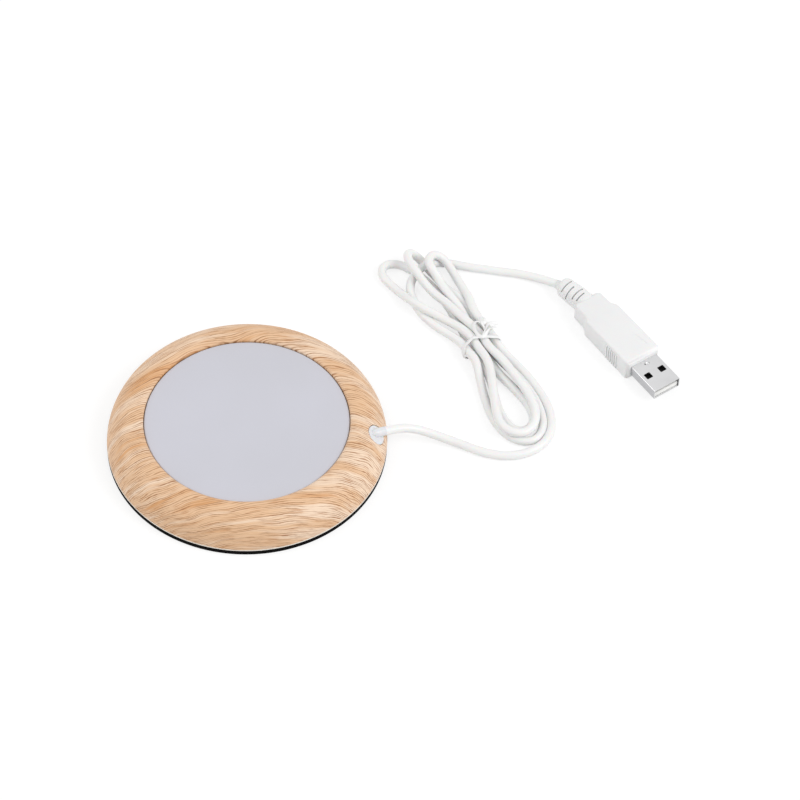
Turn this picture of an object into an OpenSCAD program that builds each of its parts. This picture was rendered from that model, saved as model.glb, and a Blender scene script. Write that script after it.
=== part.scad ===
// USB mug warmer: a domed wood-print ring round a flat heating plate, on a thin pad,
// with its lead folded into a tied hank that ends in a USB-A plug.
// Millimetres. The origin is on the table under the centre of the ring, +Z is up.

/* [Ring] */
// Outer diameter of the ring at its widest
ring_diameter = 105; // [98:0.5:115]
// Height of the ring's crest above the table
ring_height = 15; // [14:0.5:18]
// Diameter of the opening that the plate sits in
opening_diameter = 77.2; // [72:0.2:80]
// Width of the rounded lip between the opening and the crest
lip_width = 2.5; // [1.5:0.1:3.5]
// Height of the lip's inner edge above the plate
lip_edge = 0.2; // [0.1:0.1:0.6]
// Wall of the ring
ring_wall = 1.8; // [1.4:0.1:2.2]
// Upright band at the foot of the dome
rim_land = 0.6; // [0.4:0.1:1.2]
// Bevel along the bottom edge of the ring
rim_bevel = 0.3; // [0.1:0.1:0.5]
// Width of the ledge that carries the plate
ledge_width = 3; // [2.4:0.1:4]
// Thickness of the ledge
ledge_thickness = 1.6; // [1.2:0.1:2]

/* [Heating plate] */
// Depth of the plate's top below the crest
plate_recess = 1.5; // [1:0.1:2]
// Thickness of the plate
plate_thickness = 1.2; // [0.8:0.1:1.5]
// Gap between the plate's edge and the ring
plate_gap = 0.5; // [0.3:0.1:0.8]
// Width of the seal's lip between the plate's edge and the ring
seal_lip_width = 0.4; // [0.2:0.05:0.5]
// Height of the seal's lip up the plate's edge
seal_lip_height = 0.8; // [0.4:0.1:1]
// Bevel on the plate's top edge
plate_bevel = 0.15; // [0.05:0.05:0.3]

/* [Heater] */
// Diameter of the heater film and its thermal pad
heater_diameter = 66; // [62:0.5:68]
// Thickness of the seal and of the thermal pad
seal_thickness = 0.4; // [0.3:0.1:0.6]
// Thickness of the heater film
film_thickness = 0.3; // [0.2:0.1:0.4]
// Thickness of the resistance track
track_thickness = 0.2; // [0.1:0.1:0.3]
// Width of the resistance track
track_width = 2; // [1.4:0.2:2.6]
// Distance between the rings of the track
track_pitch = 5; // [4:0.2:5]
// Radius of the innermost ring of the track
track_start = 6; // [5:0.5:7]
// Number of rings in the track
track_rings = 6; // [4:2:6]
// Half the gap in each ring of the track
track_gap = 2.5; // [2:0.1:3]
// Diameter of the solder joints
solder_diameter = 2.8; // [2:0.2:3.2]
// Height of the solder joints
solder_height = 0.4; // [0.3:0.1:0.6]

/* [Insulation and clamp] */
// Thickness of the insulation and of the cut-out that sits in it
insulation_thickness = 2.5; // [2.2:0.1:2.8]
// Width of the insulation past the heater film
insulation_margin = 1; // [0.5:0.1:1.5]
// Thickness of the clamp plate
clamp_plate_thickness = 1; // [0.8:0.1:1.2]
// Width of the clamp plate's ears
ear_width = 5; // [4.6:0.2:6]
// Number of ears, bosses and screws
ear_count = 3; // [3:1:4]
// Radius of the circle through the ear screws
ear_circle = 38; // [37.6:0.1:38.4]
// Bearing of the first ear
ear_bearing = 60; // [50:5:60]
// Diameter of the bosses under the ledge
ear_boss_diameter = 4.6; // [4:0.1:5]

/* [Thermal cut-out] */
// Length of the cut-out
cutout_length = 15; // [12:0.5:16]
// Width of the cut-out
cutout_width = 6; // [5:0.5:7]
// Distance of the cut-out's inner end from the centre
cutout_start = 12; // [11:0.5:13]
// Clearance round the parts that sit in the insulation's window
window_clearance = 1; // [0.5:0.1:1.2]

/* [Base] */
// Thickness of the pad under the ring
foot_height = 2; // [1.5:0.1:3]
// Distance of the pad's edge inside the ring's edge
foot_inset = 0.3; // [0.2:0.1:1]
// Thickness of the base plate
base_thickness = 1.6; // [1.4:0.1:2]
// Gap between the base plate and the ring
base_gap = 0.3; // [0.2:0.1:0.5]
// Number of posts and base screws
post_count = 4; // [3:1:5]
// Radius of the circle through the posts
post_circle = 45; // [44:0.5:46]
// Diameter of the posts
post_diameter = 5; // [4.6:0.2:5.4]
// Bearing of the first post
post_bearing = 45; // [40:5:50]

/* [Screws] */
// Thread diameter of the base screws
base_screw_diameter = 2.2; // [2:0.1:2.6]
// Length of the base screws
base_screw_length = 7; // [6:0.5:8]
// Thread diameter of the small screws
small_screw_diameter = 1.6; // [1.4:0.1:1.8]
// Length of the ear screws under their heads
ear_screw_length = 2.8; // [2.4:0.1:3]
// Length of the cord clamp screws under their heads
clamp_screw_length = 2.4; // [2:0.1:2.6]
// Head diameter of a screw over its thread diameter
head_ratio = 1.9; // [1.7:0.05:2]
// Height of the small screws' heads
small_head_height = 1; // [0.8:0.1:1.2]
// Length of a head's cross recess over the head's diameter
recess_length_ratio = 0.6; // [0.5:0.05:0.7]
// Width of a head's cross recess over the head's diameter
recess_width_ratio = 0.14; // [0.1:0.02:0.18]
// Depth of the cross recess
recess_depth = 0.5; // [0.3:0.1:0.7]
// Clearance round a screw in the piece that it passes through
screw_clearance = 0.3; // [0.2:0.1:0.4]
// Clearance round a screw's thread in its blind hole
thread_clearance = 0.1; // [0.05:0.05:0.2]
// Clearance at the end of a screw in its blind hole
screw_end_clearance = 0.3; // [0.2:0.1:0.4]

/* [Cord] */
// Diameter of the cord
cord_diameter = 3.4; // [3:0.1:3.6]
// Diameter of each insulated conductor
conductor_diameter = 1.3; // [1:0.1:1.4]
// Diameter of the grommet where it shows in the ring
grommet_diameter = 8; // [7:0.2:8.6]
// Width of the grommet's flange behind the wall
grommet_flange = 0.8; // [0.5:0.1:1]
// Thickness of the grommet's flange
grommet_flange_thickness = 1; // [0.8:0.1:1.2]
// Clearance round the grommet in the wall
grommet_clearance = 0.1; // [0.05:0.05:0.2]
// Depth of the grommet's face below the ring's surface
grommet_sink = 0.4; // [0.2:0.1:0.8]
// Place of the grommet along the dome, from the rim at 0 to the crest at 90
grommet_slope = 47; // [44:1:50]
// Bearing of the grommet round the ring
grommet_bearing = -4; // [-8:1:0]
// Length of the spout that turns the cord outwards
spout_length = 3.4; // [3:0.1:3.8]
// Wall of the spout round the cord
spout_wall = 0.25; // [0.2:0.05:0.3]
// Clearance round the spout in the wall
spout_clearance = 0.2; // [0.1:0.05:0.3]
// Thickness left between the grommet's bore and its face
grommet_cap = 1.2; // [0.9:0.1:1.4]
// Thickness of the strap that clamps the cord
strap_thickness = 0.5; // [0.4:0.05:0.6]
// Length of the strap along the cord
strap_length = 5; // [4:0.5:6]
// Distance of each strap screw from the cord's axis
strap_screw_offset = 4.6; // [4.4:0.1:5]
// Height of the pads that the strap's ears sit on
strap_pad_height = 1.1; // [0.9:0.1:1.2]
// Diameter of the pads that the strap's ears sit on
strap_pad_diameter = 4; // [3.6:0.2:4.4]

/* [Hank and tie] */
// Height of the hank
hank_height = 7.2; // [6.8:0.1:8]
// Width of the hank under the tie
waist_width = 13.8; // [12:0.2:15]
// Height of the hank's top under the tie
waist_top = 6.8; // [6.4:0.1:7]
// Height of the hank's underside under the tie
waist_bottom = 0.5; // [0.4:0.1:0.8]
// Width of the tie
tie_width = 1.4; // [1:0.1:2]
// Thickness of the tie
tie_thickness = 0.4; // [0.2:0.05:0.5]
// Clearance between the tie and the hank
tie_clearance = 0.1; // [0.05:0.01:0.14]
// Thickness of the tie's twisted ends
tie_twist_diameter = 1.6; // [1.2:0.1:2]

/* [Plug] */
// Width of the plug's steel shell
shell_width = 12; // [11.8:0.05:12.2]
// Height of the plug's steel shell
shell_height = 4.5; // [4.3:0.05:4.7]
// Length of the shell outside the moulded body
shell_length = 14.6; // [12:0.1:18]
// Length of the shell inside the moulded body
shell_root = 5; // [4:0.5:6]
// Sheet thickness of the shell
shell_wall = 0.3; // [0.2:0.05:0.4]
// Side of the square windows in the shell
shell_window = 2.5; // [2:0.1:2.8]
// Distance of the windows' centres from the tip
window_setback = 7.5; // [6:0.1:8]
// Distance of the windows' centres from the plug's axis
window_offset = 3.1; // [2.6:0.1:3.4]
// Thickness of the contact carrier
tongue_thickness = 1.9; // [1.7:0.05:2]
// Distance of the contact carrier's end from the tip
tongue_setback = 0.5; // [0.3:0.1:1]
// Clearance of the contact carrier at its sides
tongue_clearance = 0.15; // [0.1:0.05:0.2]
// Width of the contacts
contact_width = 1; // [0.8:0.1:1.2]
// Thickness of the contacts
contact_thickness = 0.2; // [0.1:0.05:0.25]
// Distance of the contacts' ends from the tip
contact_setback = 1.6; // [1.3:0.1:2]
// Length of the contacts
contact_length = 7.5; // [6.5:0.5:9]
// Distance of the two inner contacts from the plug's axis
inner_contact_offset = 1; // [0.9:0.05:1.1]
// Distance of the two power contacts from the plug's axis
contact_offset = 3.5; // [3.3:0.1:3.7]
// Width of the moulded body
body_width = 15.6; // [14.6:0.1:17]
// Height of the moulded body
body_height = 9.5; // [8.5:0.1:10]
// Length of the moulded body's wide part
body_length = 26.4; // [20:0.2:30]
// Bevel at the sides of the moulded body's front
body_bevel = 1.4; // [0.8:0.1:1.8]
// Bevel over and under the moulded body's front
body_top_bevel = 1.1; // [0.6:0.1:1.3]
// Corner radius of the moulded body
body_round = 1; // [0.6:0.1:1.3]
// Height that the wide part loses towards its rear
body_taper = 0.6; // [0.2:0.1:1]
// Length of the shoulder between the wide and the narrow part
shoulder_length = 2.6; // [2:0.1:4]
// Length of the narrow part behind the wide part
neck_length = 10.4; // [8:0.2:12]
// Width of the narrow part
neck_width = 12; // [10.6:0.2:12.6]
// Height of the narrow part
neck_height = 8.1; // [7.6:0.1:8.4]
// Width and height that the narrow part loses towards its end
neck_taper = 0.4; // [0.2:0.1:0.6]
// Length of the bevel at the narrow part's end
neck_bevel = 1.2; // [0.8:0.1:1.6]
// Number of grip ribs on each side
rib_count = 6; // [4:1:8]
// Distance between the grip ribs
rib_pitch = 1.2; // [1:0.1:1.4]
// Distance of the first rib from the body's front
rib_setback = 7; // [5:0.5:8]
// Width and height of each rib
rib_size = 0.5; // [0.3:0.1:0.6]
// Width of the slots in the strain relief
slot_width = 0.9; // [0.6:0.1:1.1]
// Depth of the slots in the strain relief
slot_depth = 1.5; // [1:0.1:1.8]

/* [Hidden] */

// Facets of a round surface, of a hull's child and of a swept cord
fine = 96;
coarse = 32;
cord_sides = 8;
// A direction that no wire inside runs along
wire_reference = [0.5, 0.7, -0.5];
// Overlap that joins shapes of one solid, and overshoot of a cut
join = 0.2;
// Thickness of the slices that the plug's body is blended from
slice = 0.02;
// Steps along a quarter of the dome
dome_steps = 20;

// Heights, from the table up
crest_z = ring_height;
plate_top_z = crest_z - plate_recess;
plate_bottom_z = plate_top_z - plate_thickness;
ledge_top_z = plate_bottom_z - seal_thickness;
ledge_bottom_z = ledge_top_z - ledge_thickness;
film_bottom_z = ledge_top_z - film_thickness;
track_bottom_z = film_bottom_z - track_thickness;
insulation_bottom_z = track_bottom_z - insulation_thickness;
clamp_bottom_z = insulation_bottom_z - clamp_plate_thickness;
base_top_z = foot_height + base_thickness;
land_top_z = foot_height + rim_land;
tail_z = base_top_z + cord_diameter / 2;
wire_z = insulation_bottom_z + insulation_thickness / 2;
// Half the width of the window for the cut-out and the solder joints
window_half = max(cutout_width / 2, track_gap + solder_diameter * 0.75) + window_clearance;

// Radii about the ring's axis
ring_radius = ring_diameter / 2;
opening_radius = opening_diameter / 2;
crest_radius = opening_radius + lip_width;
plate_radius = opening_radius - plate_gap;
ledge_radius = opening_radius - ledge_width;
heater_radius = heater_diameter / 2;
insulation_radius = heater_radius + insulation_margin;
base_radius = ring_radius - ring_wall - base_gap;
dome_run = ring_radius - crest_radius;
dome_rise = crest_z - land_top_z;
lip_drop = plate_recess - lip_edge;

// The grommet's seat on the dome: place, outward axis and wall direction
grommet_surface = [
    crest_radius + dome_run * cos(grommet_slope),
    land_top_z + dome_rise * sin(grommet_slope)
];
grommet_tilt = atan2(sin(grommet_slope) / dome_rise, cos(grommet_slope) / dome_run);
grommet_seat_radius = grommet_surface[0] - grommet_sink * cos(grommet_tilt);
grommet_seat_z = grommet_surface[1] - grommet_sink * sin(grommet_tilt);
grommet_centre = [
    grommet_seat_radius * cos(grommet_bearing),
    grommet_seat_radius * sin(grommet_bearing),
    grommet_seat_z
];
grommet_axis = [
    cos(grommet_tilt) * cos(grommet_bearing),
    cos(grommet_tilt) * sin(grommet_bearing),
    sin(grommet_tilt)
];
grommet_depth = ring_wall - grommet_sink;
grommet_back = grommet_depth + grommet_clearance + grommet_flange_thickness;
// Heading and fall of the spout
spout_bearing = 32.5;
spout_fall = 18;
spout_axis = [
    cos(spout_fall) * cos(spout_bearing),
    cos(spout_fall) * sin(spout_bearing),
    -sin(spout_fall)
];
cord_exit = grommet_centre + spout_length * spout_axis;

// The cord inside the housing, from the grommet's bore to its stripped end
tail_y = -7.5;
tail_end_x = 24;
// Straight stretch behind the grommet
grommet_run = 4.2;
cord_tail_route = [
    grommet_centre - grommet_cap * grommet_axis,
    grommet_centre - (grommet_cap + grommet_run) * grommet_axis,
    [40.5, -5, 6],
    [37, -6.5, tail_z],
    [33, tail_y, tail_z],
    [tail_end_x, tail_y, tail_z]
];
strap_x = 29;
// Distance between the two conductors' axes
conductor_spacing = conductor_diameter + 0.2;

// The cord on the table, from the spout to the hank
cord_rest_z = cord_diameter / 2;
cord_lead_route = [
    cord_exit,
    cord_exit + 3 * spout_axis,
    [57.3, 2.4, 8.2],
    [63, 4.3, 6],
    [68.8, 4, 4],
    [74.6, 2.7, 2.6],
    [80.4, 0.8, 1.9],
    [86.2, -1.7, cord_rest_z],
    [92, -3.4, cord_rest_z],
    [97.7, -3.9, cord_rest_z],
    [103.4, -2.9, cord_rest_z],
    [108, -0.4, cord_rest_z],
    [112, 4.6, cord_rest_z]
];
// The cord on the table, from the hank to the plug's strain relief
plug_cord_route = [
    [77.5, 90.4, cord_rest_z],
    [82.8, 89.4, cord_rest_z],
    [88.8, 88.6, cord_rest_z],
    [94.8, 87.7, cord_rest_z],
    [100.8, 86.9, cord_rest_z],
    [106.7, 85.4, 1.9],
    [112, 83, 2.7],
    [116.5, 80.5, 3.5]
];

// Hank: the round ends, the sides of the fans between them and the tie, and the tie's place
hank_upper = [[58.3, 85.8, 11.6], [66, 86.2, 11.8]];
hank_lower = [[103, 14, 13], [99.5, 19, 10.5]];
hank_upper_left = [[56.5, 73.5], [48, 80.4]];
hank_upper_right = [[76.5, 91.4], [81.5, 79], [85.8, 66]];
hank_lower_left = [[84, 34], [86.2, 22], [91, 9]];
hank_lower_right = [[115.6, 17.5], [111.5, 26.5], [104, 38.5]];
tie_centre = [87, 48.5];
tie_bearing = -66.4;
tie_across = [cos(tie_bearing + 90), sin(tie_bearing + 90)];
hank_waist_left = tie_centre - waist_width / 2 * tie_across;
hank_waist_right = tie_centre + waist_width / 2 * tie_across;
tie_twist_route = [[85.5, 50.2, 7.9], [86.4, 52.4, 8.8], [87, 55, 9.2], [87.8, 57.2, 9.2]];
tie_tail_route = [[86.4, 52.4, 8.8], [90, 54.2, 8.9], [93.8, 55.3, 8.4]];

// Plug: its tip on the table, the bearing it points along, and heights inside it
plug_tip = [157.7, 28.5, 0];
plug_bearing = -53.7;
shell_z = body_height / 2;
body_front_x = -shell_length;
body_shoulder_x = body_front_x - body_length + shoulder_length;
neck_front_x = body_front_x - body_length;
neck_end_x = neck_front_x - neck_length;
tongue_width = shell_width - 2 * shell_wall - 2 * tongue_clearance;
tongue_bottom_z = shell_z - shell_height / 2 + shell_wall;
tongue_top_z = tongue_bottom_z + tongue_thickness;
// The strain relief, by distance behind the body: its side and height, and its radius
relief_course = [[0, 0, 4.6], [3.5, -0.2, 4.4], [7.5, -0.9, 4.1], [11, -1.6, 3.8], [14.6, -2.4, 3.5]];
relief_radii = [4.4, 4.3, 4, 3.7, 3.3];
relief_route = [for (p = relief_course) plug_place([neck_end_x - p[0], p[1], p[2]])];
relief_top = [
    for (i = [0:len(relief_radii) - 1])
        [relief_course[i][0], relief_course[i][2] + relief_radii[i]]
];
relief_sides = 16;
// Slots across the relief, by distance behind the body and place to the side
slot_places = [[2.4, 0.8], [5.2, -0.8], [8, 0.2], [10.8, -1.6]];
slot_length = 5.2;

// ---- helpers ----

function plug_place(p) = plug_tip + [
    p[0] * cos(plug_bearing) - p[1] * sin(plug_bearing),
    p[0] * sin(plug_bearing) + p[1] * cos(plug_bearing),
    p[2]
];

function unit(v) = v / norm(v);

function heading(points, i) =
    unit(points[min(i + 1, len(points) - 1)] - points[max(i - 1, 0)]);

// A point on the ring of a tube; the reference is a direction that the tube never runs along
function ring_point(centre, along, reference, radius, angle) =
    let (side = unit(cross(along, reference)), up = cross(side, along))
    centre + radius * (cos(angle) * side + sin(angle) * up);

// A route with each corner replaced by three points of a curve
function rounded_route(points, reach) = [
    points[0],
    for (i = [1:len(points) - 2])
        let (
            before = points[i] - reach * unit(points[i] - points[i - 1]),
            after = points[i] + reach * unit(points[i + 1] - points[i])
        )
        each [before, (before + 2 * points[i] + after) / 4, after],
    points[len(points) - 1]
];

// A tube of changing radius swept along a route
module swept_tube(points, radii, sides, reference = [0, 0, 1]) {
    last = len(points) - 1;
    skin = [
        for (i = [0:last], k = [0:sides - 1])
            ring_point(points[i], heading(points, i), reference, radii[i], 360 * k / sides)
    ];
    start_cap = [[for (k = [sides - 1:-1:0]) k]];
    end_cap = [[for (k = [0:sides - 1]) last * sides + k]];
    walls = [
        for (i = [0:last - 1], k = [0:sides - 1], half = [0, 1])
            let (a = i * sides + k, b = i * sides + (k + 1) % sides)
            half == 0 ? [a, b, b + sides] : [a, b + sides, a + sides]
    ];
    polyhedron(skin, concat(start_cap, walls, end_cap), convexity = 4);
}

module plain_cord(points) {
    swept_tube(points, [for (p = points) cord_diameter / 2], cord_sides);
}

// A wire with rounded corners
module wire(points, diameter) {
    route = rounded_route(points, diameter * 0.6);
    swept_tube(route, [for (p = route) diameter / 2], cord_sides, wire_reference);
}

// Turns a shape drawn about +Z to stand on the grommet's seat
module at_grommet() {
    translate(grommet_centre) rotate([0, 90 - grommet_tilt, grommet_bearing]) children();
}

// Turns a shape drawn about +Z to run along the spout
module along_spout() {
    translate(grommet_centre) rotate([0, 90 + spout_fall, spout_bearing]) children();
}

module at_plug() {
    translate(plug_tip) rotate(plug_bearing) children();
}

module at_tie() {
    translate([tie_centre[0], tie_centre[1], 0]) rotate(tie_bearing) children();
}

// Copies a shape to evenly spaced places on a circle
module around(count, radius, bearing) {
    for (i = [0:count - 1]) rotate(bearing + 360 * i / count) translate([radius, 0, 0]) children();
}

module rounded_rectangle(width, height, radius) {
    square([width - 2 * radius, height], center = true);
    square([width, height - 2 * radius], center = true);
    for (x = [-1, 1], y = [-1, 1])
        translate([x * (width / 2 - radius), y * (height / 2 - radius)]) circle(r = radius, $fn = coarse);
}

// A flat ring on the ring's axis
module washer(inner, outer, bottom, top) {
    translate([0, 0, bottom])
        difference() {
            cylinder(h = top - bottom, r = outer, $fn = fine);
            translate([0, 0, -join]) cylinder(h = top - bottom + 2 * join, r = inner, $fn = fine);
        }
}

// The cross recess of a screw head whose face is at z = 0, seen from below
module cross_recess(head) {
    for (turn = [0, 90])
        rotate(turn)
            translate([0, 0, recess_depth / 2 - join / 2])
                cube([head * recess_length_ratio, head * recess_width_ratio, recess_depth + join],
                    center = true);
}

// A pan-head screw, drawn with the underside of its head at z = 0 and its shank upwards
module pan_screw(diameter, shank, head_height) {
    head = diameter * head_ratio;
    cylinder(h = shank, d = diameter, $fn = coarse);
    difference() {
        translate([0, 0, -head_height]) cylinder(h = head_height, d = head, $fn = coarse);
        translate([0, 0, -head_height]) cross_recess(head);
    }
}

// ---- housing ----

module ring_profile() {
    inner_run = dome_run - ring_wall;
    inner_rise = dome_rise - ring_wall;
    polygon(concat(
        [[ring_radius - rim_bevel, foot_height], [ring_radius, foot_height + rim_bevel]],
        [
            for (i = [0:dome_steps])
                let (a = 90 * i / dome_steps)
                [crest_radius + dome_run * cos(a), land_top_z + dome_rise * sin(a)]
        ],
        [
            for (i = [1:dome_steps / 2])
                let (a = 90 + 180 * i / dome_steps)
                [crest_radius + lip_width * cos(a), crest_z - lip_drop + lip_drop * sin(a)]
        ],
        [
            [opening_radius, ledge_top_z],
            [ledge_radius, ledge_top_z],
            [ledge_radius, ledge_bottom_z],
            [opening_radius + ring_wall, ledge_bottom_z],
            [opening_radius + ring_wall, crest_z - ring_wall]
        ],
        [
            for (i = [dome_steps:-1:0])
                let (a = 90 * i / dome_steps)
                [crest_radius + inner_run * cos(a), land_top_z + inner_rise * sin(a)]
        ],
        [[ring_radius - ring_wall, foot_height]]
    ));
}

// Height of the dome's underside above a circle about the ring's axis
function underside_z(radius) =
    let (run = dome_run - ring_wall, rise = dome_rise - ring_wall)
    land_top_z + rise * sqrt(1 - pow((radius - crest_radius) / run, 2));

module trim_ring() {
    post_top_z = underside_z(post_circle + post_diameter / 2) + ring_wall / 2;
    hole = base_screw_diameter + thread_clearance;
    ear_hole = small_screw_diameter + thread_clearance;
    color("#dcb795")
    difference() {
        union() {
            rotate_extrude($fn = fine) ring_profile();
            around(post_count, post_circle, post_bearing)
                translate([0, 0, base_top_z])
                    cylinder(h = post_top_z - base_top_z, d = post_diameter, $fn = coarse);
            around(ear_count, ear_circle, ear_bearing)
                translate([0, 0, insulation_bottom_z])
                    cylinder(h = ledge_bottom_z + ledge_thickness / 2 - insulation_bottom_z,
                        d = ear_boss_diameter, $fn = coarse);
        }
        around(post_count, post_circle, post_bearing)
            translate([0, 0, foot_height])
                cylinder(h = base_screw_length + screw_end_clearance, d = hole, $fn = coarse);
        around(ear_count, ear_circle, ear_bearing)
            translate([0, 0, clamp_bottom_z])
                cylinder(h = ear_screw_length + screw_end_clearance, d = ear_hole, $fn = coarse);
        at_grommet()
            translate([0, 0, -grommet_depth - ring_wall])
                cylinder(h = 3 * ring_wall, d = grommet_diameter + 2 * grommet_clearance, $fn = fine);
        along_spout()
            cylinder(h = 3 * spout_length, d = cord_diameter + 2 * (spout_wall + spout_clearance),
                $fn = fine);
    }
}

module heating_plate() {
    color("#cfcfd7")
    rotate_extrude($fn = fine)
        polygon([
            [0, plate_bottom_z],
            [plate_radius, plate_bottom_z],
            [plate_radius, plate_top_z - plate_bevel],
            [plate_radius - plate_bevel, plate_top_z],
            [0, plate_top_z]
        ]);
}

module plate_seal() {
    color("#2a2522") {
        washer(ledge_radius, plate_radius + join / 2, ledge_top_z, plate_bottom_z);
        washer(plate_radius, plate_radius + min(seal_lip_width, plate_gap), ledge_top_z,
            plate_bottom_z + min(seal_lip_height, plate_thickness));
    }
}

module base_plate() {
    hole = base_screw_diameter + 2 * screw_clearance;
    head = base_screw_diameter * head_ratio;
    color("#26262a")
    difference() {
        union() {
            translate([0, 0, foot_height]) cylinder(h = base_thickness, r = base_radius, $fn = fine);
            for (side = [-1, 1])
                translate([strap_x, tail_y + side * strap_screw_offset, base_top_z - join])
                    cylinder(h = strap_pad_height + join, d = strap_pad_diameter, $fn = coarse);
        }
        around(post_count, post_circle, post_bearing) {
            translate([0, 0, foot_height - join])
                cylinder(h = base_thickness + 2 * join, d = hole, $fn = coarse);
            translate([0, 0, foot_height])
                cylinder(h = (head - hole) / 2, d1 = head, d2 = hole, $fn = coarse);
        }
        for (side = [-1, 1])
            translate([
                strap_x,
                tail_y + side * strap_screw_offset,
                base_top_z + strap_pad_height + strap_thickness - clamp_screw_length - screw_end_clearance
            ])
                cylinder(h = clamp_screw_length + screw_end_clearance,
                    d = small_screw_diameter + thread_clearance, $fn = coarse);
    }
}

module base_screws() {
    head = base_screw_diameter * head_ratio;
    hole = base_screw_diameter + 2 * screw_clearance;
    color("#b8b8bc")
    around(post_count, post_circle, post_bearing)
        translate([0, 0, foot_height])
            difference() {
                union() {
                    cylinder(h = base_screw_length, d = base_screw_diameter, $fn = coarse);
                    cylinder(h = (head - hole) / 2, d1 = head, d2 = hole, $fn = coarse);
                }
                cross_recess(head);
            }
}

module foot_pad() {
    color("#1a1a1c") cylinder(h = foot_height, r = ring_radius - foot_inset, $fn = fine);
}

// ---- heater stack ----

module thermal_pad() {
    color("#8fa6b4")
    translate([0, 0, ledge_top_z]) cylinder(h = seal_thickness, r = heater_radius, $fn = fine);
}

module heater_film() {
    color("#b5651d")
    translate([0, 0, film_bottom_z]) cylinder(h = film_thickness, r = heater_radius, $fn = fine);
}

// Radius of each ring of the track, and the distance of its ends from the centre along the gap
function track_radius(i) = track_start + i * track_pitch;
function track_reach(i) = sqrt(pow(track_radius(i), 2) - pow(track_gap, 2));

// Open rings joined in series by links on alternate sides of the gap
module heater_track() {
    color("#c8c0a8")
    translate([0, 0, track_bottom_z])
        linear_extrude(track_thickness) {
            for (i = [0:track_rings - 1])
                difference() {
                    circle(r = track_radius(i) + track_width / 2, $fn = fine);
                    circle(r = track_radius(i) - track_width / 2, $fn = fine);
                    translate([0, -track_gap]) square([track_radius(i) + track_width, 2 * track_gap]);
                }
            for (i = [0:track_rings - 2]) {
                side = i % 2 == 0 ? 1 : -1;
                translate([track_reach(i), side * (track_gap + track_width / 2) - track_width / 2])
                    square([track_reach(i + 1) - track_reach(i), track_width]);
            }
        }
}

// The two ends of the track, where the conductors are soldered
function track_end(i) = [
    track_reach(i),
    -track_gap - solder_diameter / 4,
    track_bottom_z - solder_height
];

module solder_joints() {
    color("#c9ccd0")
    for (i = [0, track_rings - 1])
        translate(track_end(i)) cylinder(h = solder_height, d = solder_diameter, $fn = coarse);
}

// The window under the track's gap, in which the cut-out and the solder joints sit
module insulation_disc() {
    inner = track_end(0)[0] - solder_diameter / 2 - window_clearance;
    outer = insulation_radius - window_clearance;
    color("#e8e4d8")
    translate([0, 0, insulation_bottom_z])
        difference() {
            cylinder(h = insulation_thickness, r = insulation_radius, $fn = fine);
            translate([inner, -window_half, -join])
                cube([outer - inner, 2 * window_half, insulation_thickness + 2 * join]);
        }
}

module thermal_cutout() {
    color("#3b3b40")
    translate([cutout_start, -cutout_width / 2, insulation_bottom_z])
        cube([cutout_length, cutout_width, insulation_thickness]);
}

// The hole in the clamp plate that the two conductors come up through
module clamp_plate() {
    hole_start = track_end(0)[0] - solder_diameter / 2;
    color("#d5d7da")
    translate([0, 0, clamp_bottom_z])
        difference() {
            union() {
                cylinder(h = clamp_plate_thickness, r = insulation_radius, $fn = fine);
                around(ear_count, ear_circle, ear_bearing)
                    cylinder(h = clamp_plate_thickness, d = ear_width, $fn = coarse);
                for (i = [0:ear_count - 1])
                    rotate(ear_bearing + 360 * i / ear_count)
                        translate([insulation_radius - ear_width / 2, -ear_width / 2, 0])
                            cube([
                                ear_circle - insulation_radius + ear_width / 2,
                                ear_width,
                                clamp_plate_thickness
                            ]);
            }
            around(ear_count, ear_circle, ear_bearing)
                translate([0, 0, -join])
                    cylinder(h = clamp_plate_thickness + 2 * join,
                        d = small_screw_diameter + screw_clearance, $fn = coarse);
            translate([hole_start, -window_half, -join])
                cube([
                    cutout_start - window_clearance / 2 - hole_start,
                    2 * window_half,
                    clamp_plate_thickness + 2 * join
                ]);
        }
}

module clamp_plate_screws() {
    color("#b8b8bc")
    around(ear_count, ear_circle, ear_bearing)
        translate([0, 0, clamp_bottom_z])
            pan_screw(small_screw_diameter, ear_screw_length, small_head_height);
}

// ---- conductors and cord inside ----

module positive_wire() {
    start = [tail_end_x, tail_y + conductor_spacing / 2, tail_z];
    rise = [cutout_start - 3, 1.5, tail_z];
    color("#c0281e")
    wire([
        start,
        [start[0] - 3, start[1], tail_z],
        rise,
        [rise[0], rise[1], wire_z],
        [cutout_start, rise[1], wire_z]
    ], conductor_diameter);
}

module negative_wire() {
    start = [tail_end_x, tail_y - conductor_spacing / 2, tail_z];
    end = track_end(0);
    color("#1c1c1e")
    wire([start, [start[0] / 2, start[1] + 1, tail_z], [end[0], end[1], tail_z], end], conductor_diameter);
}

module cutout_wire() {
    start = [cutout_start + cutout_length, 0, wire_z];
    end = track_end(track_rings - 1);
    color("#c0281e")
    wire([start, [start[0] + 1, 0, wire_z], [end[0], end[1], wire_z - 0.2], end], conductor_diameter);
}

module cord_tail() {
    color("#f0f0f0") plain_cord(rounded_route(cord_tail_route, cord_diameter * 0.4));
}

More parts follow.
